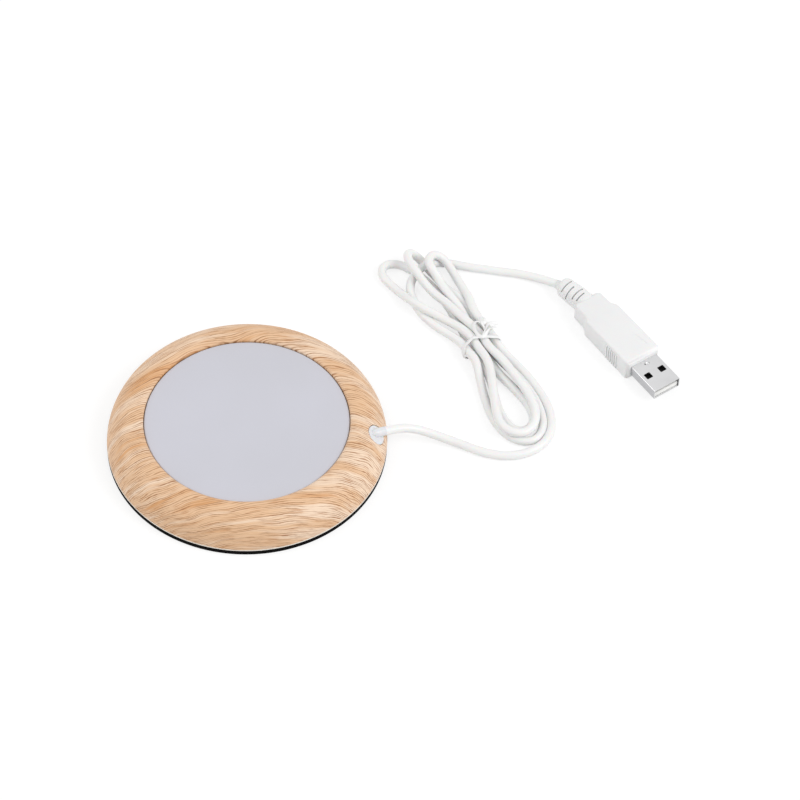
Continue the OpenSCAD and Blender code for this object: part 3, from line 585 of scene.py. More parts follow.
def pick(piece: Object, kind: Element, test: Test) -> int:
    """Selects the vertices, edges or faces that pass a test, in edit mode.

    Args:
        piece: the object in edit mode.
        kind: what is selected.
        test: gets a bmesh vertex, edge or face.

    Returns:
        How many are selected.
    """
    bpy.ops.mesh.select_mode(type=kind.name)
    bpy.ops.mesh.select_all(action="DESELECT")
    mesh = bmesh.from_edit_mesh(piece.data)
    found = [e for e in getattr(mesh, kind.value) if test(e)]
    for element in found:
        element.select_set(True)
    mesh.select_flush_mode()
    bmesh.update_edit_mesh(piece.data)
    return len(found)


def block(name: str, low: Point, high: Point) -> Object:
    """Adds a box between two corners, in millimetres, and opens it in edit mode.

    Args:
        name: the piece's name.
        low: its lowest corner.
        high: its highest corner.

    Returns:
        The box, in edit mode and selected all over.
    """
    clear_selection()
    bpy.ops.mesh.primitive_cube_add(size=1)
    piece = named(name)
    bpy.ops.object.mode_set(mode="EDIT")
    span = [(b - a) * MM for a, b in zip(low, high)]
    middle = [(a + b) / 2 * MM for a, b in zip(low, high)]
    resize(span)
    bpy.ops.transform.translate(value=middle)
    return piece


def turned(name: str, profile: Profile, sides: int) -> Object:
    """Turns a profile about the Z axis: one ring is extruded and scaled from step to step.

    Args:
        name: the piece's name.
        profile: radius and height of each step, in millimetres.
        sides: sides of each ring.

    Returns:
        The piece, in object mode, closed and with its faces outwards.
    """
    clear_selection()
    radius, height = profile[0]
    bpy.ops.mesh.primitive_circle_add(vertices=sides, radius=radius * MM, location=(0, 0, height * MM))
    piece = named(name)
    bpy.ops.object.transform_apply()
    bpy.ops.object.mode_set(mode="EDIT")
    bpy.ops.mesh.select_mode(type="EDGE")
    bpy.ops.mesh.select_all(action="SELECT")
    for next_radius, next_height in profile[1:]:
        extrude((0, 0, next_height - height))
        grow = next_radius / radius
        if abs(grow - 1) > 1e-9:
            resize((grow, grow, 1), (0, 0, next_height))
        radius, height = next_radius, next_height
    for end in (profile[0][1], profile[-1][1]):
        pick(
            piece, Element.EDGE,
            lambda e, z=end * MM: e.is_boundary and all(abs(v.co.z - z) < 1e-6 for v in e.verts),
        )
        bpy.ops.mesh.edge_face_add()
    close_up()
    return piece


def tube(name: str, route: Sequence[Point], radii: Sequence[float], sides: int) -> Object:
    """Draws a round tube that curves through the points of a route, and makes it a mesh.

    Args:
        name: the piece's name.
        route: points of the axis, in millimetres.
        radii: radius at each point, in millimetres.
        sides: sides of the tube.

    Returns:
        The tube.
    """
    clear_selection()
    curve = bpy.data.curves.new(name, "CURVE")
    curve.dimensions = "3D"
    curve.bevel_depth = MM
    curve.bevel_resolution = sides // 4 - 1
    curve.use_fill_caps = True
    curve.resolution_u = 8
    points = curve.splines.new("BEZIER").bezier_points
    points.add(len(route) - 1)
    for point, place, radius in zip(points, route, radii):
        point.co = Vector(place) * MM
        point.radius = radius
        point.handle_left_type = point.handle_right_type = "AUTO"
    take(added(name, curve))
    bpy.ops.object.convert(target="MESH")
    piece = named(name)
    bpy.ops.object.mode_set(mode="EDIT")
    close_up(weld=0.0005)
    return piece


def round_edges(piece: Object, size: float, segments: int, test: Test) -> None:
    """Bevels the edges that pass a test by a size in millimetres, in edit mode."""
    if pick(piece, Element.EDGE, test):
        bpy.ops.mesh.bevel(offset=size * MM, segments=segments, affect="EDGES", profile=0.5)


def carve(piece: Object, cutters: Iterable[Object]) -> None:
    """Cuts other objects out of a piece and removes them.

    Args:
        piece: the object that is cut.
        cutters: closed objects, each with its place in its mesh.
    """
    for cutter in cutters:
        take(piece)
        cut = piece.modifiers.new("cut", "BOOLEAN")
        cut.operation, cut.solver = "DIFFERENCE", "EXACT"
        cut.object = cutter
        bpy.ops.object.modifier_apply(modifier=cut.name)
        bpy.data.objects.remove(cutter)


def joined(name: str, pieces: Sequence[Object]) -> Object:
    """Joins objects into one mesh.

    Args:
        name: the joined piece's name.
        pieces: the objects.

    Returns:
        The joined object.
    """
    clear_selection()
    for piece in pieces:
        piece.select_set(True)
    bpy.context.view_layer.objects.active = pieces[0]
    bpy.ops.object.join()
    return named(name)


def copied(piece: Object, offset: Point) -> Object:
    """Copies a piece with a mesh of its own, moved by an offset in millimetres.

    Args:
        piece: the object that is copied.
        offset: how far the copy is moved.

    Returns:
        The copy.
    """
    twin = piece.copy()
    twin.data = piece.data.copy()
    bpy.context.scene.collection.objects.link(twin)
    twin.data.transform(Matrix.Translation(Vector(offset) * MM))
    return twin


def put(piece: Object, place: Matrix) -> Object:
    """Moves a piece to its place and writes the place into its mesh.

    Args:
        piece: the object, at the origin.
        place: where it goes.

    Returns:
        The same object, at the origin again.
    """
    take(piece)
    piece.matrix_world = place
    bpy.ops.object.transform_apply(location=True, rotation=True, scale=True)
    return piece


def hand_over(piece: Object, finish: Finish, replaces: Sequence[str] = (), angle: float = 35.0) -> Object:
    """Gives a finished piece its shading, its finish and its place on the frame.

    Args:
        piece: the object.
        finish: its finish.
        replaces: CAD nodes that it stands for.
        angle: edges sharper than this many degrees stay sharp.

    Returns:
        The same object.
    """
    take(piece)
    bpy.ops.object.shade_smooth_by_angle(angle=radians(angle))
    piece.data.materials.clear()
    piece.data.materials.append(finish.build())
    if replaces:
        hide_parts(*replaces)
    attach(piece, BODY)
    log.info("%s: %d faces, %s", piece.name, len(piece.data.polygons), finish.name)
    return piece


def dress(node: str, finish: Finish) -> None:
    """Gives a CAD node that stays its finish.

    Args:
        node: the node's name.
        finish: the finish.
    """
    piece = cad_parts[node]
    material = finish.build()
    if not piece.material_slots:
        piece.data.materials.append(material)
    for slot in piece.material_slots:
        slot.material = material
    log.info("%s: %s", node, finish.name)


def axes(origin: Point, forward: Vector, upward: Vector) -> Matrix:
    """Builds a placement whose Z axis is forward and whose X axis is nearest to upward.

    Args:
        origin: its origin, in millimetres.
        forward: direction of its Z axis.
        upward: direction that its X axis leans towards.

    Returns:
        The placement, in metres.
    """
    z = forward.normalized()
    x = (upward - upward.dot(z) * z).normalized()
    y = z.cross(x)
    place = Matrix((x, y, z)).transposed().to_4x4()
    place.translation = Vector(origin) * MM
    return place


# ---------------------------------------------------------------- the warmer


@dataclass
class Housing:
    """The ring, the plate in it, the seal between them and the foot under them."""

    plate_radius: float = 38.38
    plate_top: float = 13.5
    plate_bottom: float = 12.3
    plate_roll: float = 0.45
    plate_rings: tuple[float, float] = (12.0, 30.0)
    foot_radius: float = 52.45
    foot_height: float = 2.0
    # Each grip ring is a groove: half its width at the bottom of the foot and at its own floor.
    grip_rings: tuple[float, ...] = (44.0, 36.0, 28.0, 20.0, 12.0)
    grip_half: float = 0.6
    grip_floor_half: float = 0.3
    grip_depth: float = 0.4
    sides: int = 256

    def build_plate(self) -> Object:
        """Presses the plate: a flat disc whose edge rolls over a little.

        Returns:
            The plate.
        """
        r, top, low, roll = self.plate_radius, self.plate_top, self.plate_bottom, self.plate_roll
        edge = [
            (r - roll + roll * sin(a), top - roll + roll * cos(a))
            for a in (radians(d) for d in range(0, 91, 15))
        ]
        inner, outer = self.plate_rings
        flat = [(HEART, top), (inner, top), (outer, top)]
        profile = [*flat, *edge, (r, low), (outer, low), (HEART, low)]
        piece = turned("warming_plate", profile, self.sides)
        return hand_over(piece, PLATE_PAINT, ["heating_plate"], angle=50)

    def build_foot(self) -> Object:
        """Casts the foot: a thin disc with a softened edge and grip rings underneath.

        Returns:
            The foot.
        """
        r, top = self.foot_radius, self.foot_height
        under = [(r - 0.3, 0.0), (r - 3.0, 0.0)]
        half, floor, deep = self.grip_half, self.grip_floor_half, self.grip_depth
        for ring in self.grip_rings:
            under += [(ring + half, 0.0), (ring + floor, deep), (ring - floor, deep), (ring - half, 0.0)]
        profile = [(HEART, top), (r - 0.1, top), (r, top - 0.1), (r, 0.2), *under, (HEART, 0.0)]
        piece = turned("rubber_foot", profile, self.sides)
        return hand_over(piece, FOOT_RUBBER, ["foot_pad"], angle=50)

    def build(self) -> None:
        """Builds the plate and the foot and dresses the nodes that stay."""
        self.build_plate()
        self.build_foot()
        dress("trim_ring", WOOD)
        dress("plate_seal", SEAL)


@dataclass
class InnerWorks:
    """The sealed parts under the plate: each keeps its node and gets its own finish."""

    finishes: dict[str, Finish] = field(
        default_factory=lambda: {
            "thermal_pad": GAP_PAD, "heater_film": AMBER_FILM, "heater_track": ETCHED_FOIL,
            "solder_joints": SOLDER, "insulation_disc": FELT, "thermal_cutout": BLACK_ABS,
            "clamp_plate": MILL_SHEET, "clamp_plate_screws": ZINC_STEEL, "positive_wire": RED_WIRE,
            "negative_wire": BLACK_WIRE, "cutout_wire": RED_WIRE, "cord_tail": JACKET,
            "cord_strap": ZINC_STEEL, "cord_strap_screws": ZINC_STEEL, "base_plate": BLACK_ABS,
            "base_screws": ZINC_STEEL,
        }
    )

    def build(self) -> None:
        """Dresses every inner node."""
        for node, finish in self.finishes.items():
            dress(node, finish)


@dataclass
class CordBush:
    """The bush in the ring's slope: a dished face, and a flared spout that the lead leaves by."""

    centre: Point = (48.47, -3.39, 11.39)
    outward: Point = (0.7103, -0.0497, 0.7022)
    spout: Point = (0.8021, 0.511, -0.309)
    # The lead leaves a little behind the middle of the face.
    spout_shift: Point = (0.0, 1.05, 0.0)
    radius: float = 3.88
    flange_radius: float = 4.8
    depth: float = 1.5
    flange: float = 1.0
    rim: float = 0.3
    dish: float = 0.22
    spout_length: float = 3.4
    face_sides: int = 96
    spout_sides: int = 40

    def build_face(self) -> Object:
        """Moulds the face with its rim, its dish and the flange behind the wall.

        Returns:
            The face, in its place.
        """
        r, back = self.radius, -self.depth - self.flange
        dish = [
            (r - self.rim - 0.1 - (r - self.rim - 0.2) * k, -self.dish * (1 - (1 - k) ** 2))
            for k in (0.0, 0.12, 0.25, 0.4, 0.6, 0.8)
        ]
        profile = [
            (HEART, back), (self.flange_radius - 0.2, back), (self.flange_radius, back + 0.2),
            (self.flange_radius, -self.depth), (r, -self.depth), (r, -0.16), (r - 0.05, -0.05),
            (r - 0.16, 0.0), (r - self.rim, 0.0), *dish, (HEART, -self.dish),
        ]
        piece = turned("bush_face", profile, self.face_sides)
        return put(piece, axes(self.centre, Vector(self.outward), Vector((0, 0, 1))))

    def build_spout(self) -> Object:
        """Draws the spout: it swells out of the face and runs on round the lead.

        Returns:
            The spout, in its place.
        """
        steps = (
            (-3.4, 0.2), (-2.9, 0.7), (-2.2, 1.15), (-1.4, 1.5), (-0.6, 1.72), (0.3, 1.8),
            (1.4, 1.8), (2.4, 1.76), (self.spout_length - 0.15, 1.74), (self.spout_length, 1.7),
        )
        start = Vector(self.centre) + Vector(self.spout_shift)
        way = Vector(self.spout).normalized()
        route = [tuple(start + way * s) for s, _ in steps]
        return tube("bush_spout", route, [r for _, r in steps], self.spout_sides)

    def build(self) -> Object:
        """Joins the face and the spout and returns the bush."""
        piece = joined("cord_bush", [self.build_face(), self.build_spout()])
        return hand_over(piece, BUSH_NYLON, ["cord_grommet"], angle=40)


@dataclass
class Lead:
    """The soft white lead: from the bush, through the tied hank, to the plug.

    Its runs are given in metres, in the order in which the lead follows them, and then settled:
    it is bent as little as its runs allow, rests on the table and lies on itself, about a
    diameter apart.
    """

    diameter: float = 3.4
    # Height in metres of the axis where the lead lies on the table.
    lying: float = 0.0017
    # A turn springs open while its chord, over so many points, is shorter than this.
    stiff_turn: float = 9.6
    turn_points: int = 12
    # Distance between the points, and the rounds of settling, of which the last only ease.
    step: float = 1.2
    rounds: int = 420
    easing_rounds: int = 60
    # Each round's share of straightening and of going back to its line of sight, and its sinking.
    straighten: float = 0.62
    hold: float = 0.09
    sink: float = 0.012
    # Shares by which a stretched step, a tight turn and an overlap give way at a time.
    length_give: float = 0.25
    turn_give: float = 0.2
    overlap_give: float = 0.65
    easing_give: float = 0.3
    # Rounds after which near points are looked for anew, and how far beyond touching.
    search_every: int = 8
    search_margin: float = 1.0
    # Points of the route at the bush and at the plug that stay held while the lead eases.
    held_at_bush: int = 12
    held_at_plug: int = 8
    # How far above the table the jacket stays while it settles and when it is drawn.
    clearance: float = 0.02
    drawn_clearance: float = 0.01
    drawn_step: float = 0.6
    # From the bush down to the table and along it to the hank.
    lead_run: tuple[Spot, ...] = (
        (0.0512, -0.0006, 0.01034), (0.0536, 0.0007, 0.00941), (0.0573, 0.0027, 0.0082),
        (0.063, 0.0043, 0.006), (0.0688, 0.004, 0.004), (0.0746, 0.0027, 0.0026),
        (0.0804, 0.0008, 0.0019), (0.0862, -0.0017), (0.092, -0.0034),
        (0.0977, -0.0039), (0.1034, -0.0029), (0.108, -0.0004), (0.112, 0.0046),
    )
    # Up the right side of the lower loops, on the table, to the tie.
    right_climb: tuple[Spot, ...] = (
        (0.114, 0.012), (0.113, 0.0195), (0.109, 0.028), (0.1035, 0.0365, 0.0025), (0.0975, 0.0425, 0.004),
    )
    # From the tie to the back along the right fold.
    right_fold: tuple[Spot, ...] = (
        (0.085, 0.0635, 0.004), (0.0835, 0.068, 0.0034), (0.0815, 0.073, 0.003),
        (0.0795, 0.0785, 0.003), (0.077, 0.083, 0.0035), (0.075, 0.0865, 0.0045),
        (0.0725, 0.0895, 0.005), (0.0705, 0.0925, 0.0045), (0.0685, 0.0945, 0.004),
    )
    # Back down the right fold, on top of it, to the tie.
    right_return: tuple[Spot, ...] = (
        (0.0665, 0.0925, 0.004), (0.067, 0.0875, 0.005), (0.069, 0.083, 0.0055),
        (0.071, 0.078, 0.0055), (0.0735, 0.0735, 0.0055), (0.0765, 0.069, 0.005), (0.08, 0.0635, 0.0046),
    )
    # From the tie towards the front, inside the lower loops.
    inner_down: tuple[Spot, ...] = (
        (0.093, 0.0375), (0.0965, 0.033), (0.1005, 0.028), (0.104, 0.0235), (0.1065, 0.019),
    )
    # Round the small front bend and back to the tie.
    inner_up: tuple[Spot, ...] = (
        (0.1075, 0.014), (0.106, 0.0095), (0.103, 0.0075),
        (0.0995, 0.0085), (0.097, 0.0115), (0.095, 0.0155),
        (0.0935, 0.0205), (0.0925, 0.0255), (0.091, 0.033), (0.0885, 0.0395),
    )
    # From the tie to the back, out round the left fold.
    left_fold: tuple[Spot, ...] = (
        (0.0775, 0.063, 0.0018), (0.0725, 0.0725), (0.0695, 0.077),
        (0.066, 0.0815), (0.0625, 0.0845), (0.06, 0.087), (0.0575, 0.089), (0.0545, 0.09), (0.0515, 0.0905),
        (0.049, 0.0895), (0.048, 0.087), (0.0485, 0.084),
    )
    # Back over the middle runs to the tie.
    left_return: tuple[Spot, ...] = (
        (0.05, 0.0815, 0.0018), (0.052, 0.079, 0.0022), (0.055, 0.075, 0.003),
        (0.0585, 0.071, 0.004), (0.062, 0.067, 0.005), (0.0665, 0.0635, 0.0052),
        (0.071, 0.061, 0.0052), (0.075, 0.0585, 0.005), (0.0795, 0.0555, 0.005),
    )
    # On top, towards the front.
    top_down: tuple[Spot, ...] = (
        (0.088, 0.0435, 0.005), (0.09, 0.039, 0.005), (0.091, 0.034, 0.005),
        (0.092, 0.025, 0.005), (0.093, 0.0165, 0.005), (0.094, 0.0105, 0.005),
        (0.0965, 0.0065, 0.005), (0.0995, 0.0045, 0.0048),
    )
    # Round the front and back up to the tie, on top.
    top_up: tuple[Spot, ...] = (
        (0.103, 0.0045, 0.0048), (0.106, 0.0065, 0.0048), (0.108, 0.011, 0.005),
        (0.108, 0.015, 0.005), (0.1065, 0.021, 0.005), (0.104, 0.0265, 0.005),
        (0.0985, 0.0355, 0.005), (0.095, 0.041, 0.005),
    )
    # From the tie to the back along the middle fold.
    middle_fold: tuple[Spot, ...] = (
        (0.0815, 0.0595, 0.0048), (0.078, 0.0635, 0.0048), (0.074, 0.068, 0.0048),
        (0.0705, 0.071, 0.005), (0.067, 0.075, 0.005), (0.064, 0.0795, 0.0051),
        (0.0615, 0.084, 0.0051), (0.0595, 0.088, 0.005), (0.058, 0.092, 0.0046), (0.0585, 0.0955, 0.0034),
    )
    # Back down on the table, under the right fold, to the tie.
    middle_return: tuple[Spot, ...] = (
        (0.061, 0.0955, 0.002), (0.063, 0.0925), (0.065, 0.09),
        (0.068, 0.086), (0.071, 0.082), (0.0735, 0.0775), (0.078, 0.075), (0.081, 0.07), (0.083, 0.065),
    )
    # From the tie down the right side, inside the first run.
    wide_down: tuple[Spot, ...] = (
        (0.093, 0.045, 0.0019), (0.099, 0.038), (0.1045, 0.031),
        (0.1085, 0.023), (0.111, 0.014), (0.1115, 0.0105),
    )
    # Round the widest front bend and up the left side to the tie.
    wide_up: tuple[Spot, ...] = (
        (0.1105, 0.007), (0.109, 0.0045), (0.1055, 0.003),
        (0.102, 0.0035), (0.0985, 0.0055), (0.0945, 0.01),
        (0.0905, 0.0185), (0.088, 0.0275), (0.0865, 0.035, 0.003), (0.085, 0.0415, 0.0046),
    )
    # Out of the tie, round the back and under the folds.
    last_turn: tuple[Spot, ...] = (
        (0.0775, 0.051, 0.0042), (0.0735, 0.0555, 0.0024), (0.07, 0.0585),
        (0.0665, 0.0625), (0.0635, 0.066), (0.0615, 0.07),
        (0.0595, 0.0765), (0.0595, 0.0805), (0.061, 0.0845),
        (0.0635, 0.0885), (0.067, 0.091), (0.071, 0.0915), (0.0745, 0.091),
    )
    # Along the table to the plug.
    plug_run: tuple[Spot, ...] = (
        (0.0775, 0.0904), (0.0828, 0.0894), (0.0888, 0.0886),
        (0.0948, 0.0877), (0.1008, 0.0869), (0.1067, 0.0854, 0.0019),
        (0.112, 0.083, 0.0027), (0.1165, 0.0805, 0.0035),
    )
    # The tie's place, the hank's bearing there, and how far either side of it the runs are led.
    tie_centre: tuple[float, float] = (0.087, 0.0485)
    tie_bearing: float = -66.4
    tie_reach: float = 0.0025
    # Places of the seven runs in the tie: distance to the side and height, in metres.
    lanes: dict[str, tuple[float, float]] = field(
        default_factory=lambda: {
            "inner_up": (-0.0032, 0.0022), "right_return": (0.0, 0.0022), "middle_return": (0.0032, 0.0022),
            "wide_up": (-0.0059, 0.0039), "left_return": (-0.002, 0.0052), "top_up": (0.0019, 0.0052),
            "right_climb": (0.0059, 0.0039),
        }
    )

    def hank_axes(self) -> tuple[Vector, Vector]:
        """Gives the directions along the hank, towards the front, and across it.

        Returns:
            The two unit vectors.
        """
        bearing = radians(self.tie_bearing)
        along = Vector((cos(bearing), sin(bearing), 0))
        return along, Vector((-along.y, along.x, 0))

    def lane(self, run: str, towards_back: bool) -> list[Point]:
        """Gives three points of a run where it passes through the tie.

        Args:
            run: the run's name.
            towards_back: true where the lead passes towards the back.

        Returns:
            The points, in metres.
        """
        side, height = self.lanes[run]
        along, across = self.hank_axes()
        middle = Vector((*self.tie_centre, height)) + across * side
        sign = -1 if towards_back else 1
        return [tuple(middle + along * (sign * s)) for s in (-self.tie_reach, 0.0, self.tie_reach)]

    def route(self) -> tuple[list[Point], list[bool]]:
        """Strings the runs together through the tie.

        Returns:
            The points in metres, and which of them the lead is held at.
        """
        # The lead leaves the bush held, and lies free before it reaches the hank.
        order: list[tuple[Sequence[Spot], bool]] = [(self.lead_run[:-3], True), (self.lead_run[-3:], False)]
        passes = {
            "right_climb": [self.right_climb], "right_return": [self.right_fold, self.right_return],
            "inner_up": [self.inner_down, self.inner_up], "left_return": [self.left_fold, self.left_return],
            "top_up": [self.top_down, self.top_up], "middle_return": [self.middle_fold, self.middle_return],
            "wide_up": [self.wide_down, self.wide_up],
        }
        # The lead passes through the tie to the back and to the front by turns.
        for number, (lane, runs) in enumerate(passes.items()):
            order += [(run, False) for run in runs]
            order.append((self.lane(lane, number % 2 == 0), True))
        order += [(self.last_turn, False), (self.plug_run[:1], False), (self.plug_run[1:], True)]
        points = [(*p, self.lying)[:3] for run, _ in order for p in run]
        held = [keep for run, keep in order for _ in run]
        return points, held

    def through(self, points: np.ndarray, spacing: float) -> tuple[np.ndarray, np.ndarray]:
        """Draws a smooth line through points and divides it evenly.

        Args:
            points: the points, in millimetres.
            spacing: distance between the new points.

        Returns:
            The new points, and the number of the new point at each old one.
        """
        # A centripetal spline: its knots lie apart by the square root of the distance.
        steps = 24
        padded = np.vstack([2 * points[0] - points[1], points, 2 * points[-1] - points[-2]])
        dense, marks = [], []
        for i in range(1, len(padded) - 2):
            a, b, c, d = padded[i - 1 : i + 3]
            spans = [max(np.linalg.norm(q - p), 1e-6) for p, q in ((a, b), (b, c), (c, d))]
            t0, t1, t2, t3 = np.cumsum([0.0, *(span**0.5 for span in spans)])
            t = np.linspace(t1, t2, steps, endpoint=False)[:, None]
            a1 = (t1 - t) / (t1 - t0) * a + (t - t0) / (t1 - t0) * b
            a2 = (t2 - t) / (t2 - t1) * b + (t - t1) / (t2 - t1) * c
            a3 = (t3 - t) / (t3 - t2) * c + (t - t2) / (t3 - t2) * d
            b1 = (t2 - t) / (t2 - t0) * a1 + (t - t0) / (t2 - t0) * a2
            b2 = (t3 - t) / (t3 - t1) * a2 + (t - t1) / (t3 - t1) * a3
            marks.append(len(dense) * steps)
            dense.append((t2 - t) / (t2 - t1) * b1 + (t - t1) / (t2 - t1) * b2)
        marks.append(len(dense) * steps)
        line = np.vstack([*dense, points[-1:]])
        run = np.r_[0, np.cumsum(np.linalg.norm(np.diff(line, axis=0), axis=1))]
        count = int(round(run[-1] / spacing))
        even = np.linspace(0, run[-1], count + 1)
        out = np.stack([np.interp(even, run, line[:, k]) for k in range(3)], axis=1)
        return out, np.round(run[marks] / run[-1] * count).astype(int)

    def near_pairs(self, line: np.ndarray, reach: float) -> tuple[np.ndarray, np.ndarray]:
        """Finds points of the lead that are near each other, but not neighbours along it.

        Args:
            line: the points.
            reach: how near.

        Returns:
            The numbers of the first and of the second points.
        """
        square = (line**2).sum(1)
        gap = square[:, None] + square[None, :] - 2 * line @ line.T
        first, second = np.nonzero(np.triu(gap < reach**2, int(3 * self.diameter / self.step)))
        return first, second

    def keep_length(self, line: np.ndarray, rest: np.ndarray) -> None:
        """Pulls neighbouring points back to their own distance.

        Args:
            line: the points, changed in place.
            rest: the distance of each pair.
        """
        edge = line[1:] - line[:-1]
        span = np.linalg.norm(edge, axis=1)
        pull = ((span - rest) / span * self.length_give)[:, None] * edge
        line[:-1] += pull
        line[1:] -= pull

    def keep_turns_open(self, line: np.ndarray) -> None:
        """Opens each turn that is tighter than the jacket takes.

        Args:
            line: the points, changed in place.
        """
        reach = self.turn_points
        chord = line[reach:] - line[:-reach]
        span = np.linalg.norm(chord, axis=1)
        short = np.clip(self.stiff_turn - span, 0, None) / np.maximum(span, 1e-6) * self.turn_give
        line[reach:] += short[:, None] * chord
        line[:-reach] -= short[:, None] * chord

    def push_apart(self, line: np.ndarray, low: np.ndarray, high: np.ndarray, strength: float) -> None:
        """Pushes runs that lie in each other apart, and the lead out of the table.

        Args:
            line: the points, changed in place.
            low: numbers of the first points of the near pairs.
            high: numbers of the second points.
            strength: share of the overlap that each point gives way by.
        """
        way = line[high] - line[low]
        span = np.maximum(np.linalg.norm(way, axis=1), 1e-3)
        tight = span < self.diameter
        a, b = low[tight], high[tight]
        push = way[tight] / span[tight, None] * (strength * (self.diameter - span[tight]))[:, None]
        moved, count = np.zeros_like(line), np.ones(len(line))
        np.add.at(moved, a, -push)
        np.add.at(moved, b, push)
        np.add.at(count, np.r_[a, b], 1)
        line += moved / np.maximum(count - 1, 1)[:, None]
        line[:, 2] = np.maximum(line[:, 2], self.diameter / 2 + self.clearance)

    def settle(self, eye: Point) -> np.ndarray:
        """Lets the lead lie: it straightens, sinks, and is pushed out of itself and the table.

        Each point is drawn back to the line of sight that it was laid on, so the lead rises and
        sinks but nearly keeps its outline. The last rounds take out its unevenness.

        Args:
            eye: where the hank is looked at from, in metres.

        Returns:
            The centreline, in millimetres.
        """
        points, held = self.route()
        line, marks = self.through(np.array(points) / MM, self.step)
        first = line.copy()
        fixed = np.zeros(len(line), bool)
        for i in range(len(marks) - 1):
            if held[i] and held[i + 1]:
                fixed[marks[i] : marks[i + 1] + 1] = True
        number = np.arange(len(line))
        ends = fixed & ((number < marks[self.held_at_bush]) | (number > marks[-self.held_at_plug]))
        sight = first - np.array(eye) / MM
        sight /= np.linalg.norm(sight, axis=1)[:, None]
        rest = np.linalg.norm(np.diff(first, axis=0), axis=1)
        for step in range(self.rounds):
            easing = step > self.rounds - self.easing_rounds
            if easing:
                fixed = ends
            curl = np.zeros_like(line)
            curl[1:-1] = 0.5 * (line[:-2] + line[2:]) - line[1:-1]
            bend = np.zeros_like(line)
            bend[2:-2] = curl[2:-2] - 0.5 * (curl[1:-3] + curl[3:-1])
            line += self.straighten * bend
            away = line - first
            line -= self.hold * (away - (away * sight).sum(1)[:, None] * sight)
            line[:, 2] -= self.sink
            for _ in range(2):
                self.keep_length(line, rest)
                line[fixed] = first[fixed]
            self.keep_turns_open(line)
            if step % self.search_every == 0:
                low, high = self.near_pairs(line, self.diameter + self.search_margin)
            give = self.easing_give if easing else self.overlap_give
            for _ in range(1 if easing else 3):
                self.push_apart(line, low, high, give)
                line[fixed] = first[fixed]
        # The settled line is smoothed twice, each point with its two neighbours on either side.
        for _ in range(2):
            line[2:-2] = (line[:-4] + 4 * line[1:-3] + 6 * line[2:-2] + 4 * line[3:-1] + line[4:]) / 16
        return line

    def build(self, eye: Point, with_pieces: Sequence[Object]) -> Object:
        """Args:
            eye: where the hank is looked at from, in metres.
            with_pieces: the pieces that lie on the lead; not used.

        Returns:
            The lead.
        """
        fine, _ = self.through(self.settle(eye), self.drawn_step)
        fine[:, 2] = np.maximum(fine[:, 2], self.diameter / 2 + self.drawn_clearance)
        clear_selection()
        curve = bpy.data.curves.new("soft_lead", "CURVE")
        curve.dimensions = "3D"
        curve.bevel_depth = self.diameter / 2 * MM
        curve.bevel_resolution = 5
        curve.use_fill_caps = True
        spline = curve.splines.new("POLY")
        spline.points.add(len(fine) - 1)
        for point, place in zip(spline.points, fine):
            point.co = (*(place * MM), 1)
        piece = added("soft_lead", curve)
        curve.materials.append(JACKET.build())
        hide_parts("cord_lead", "cord_hank", "plug_cord")
        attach(piece, BODY)
        return piece


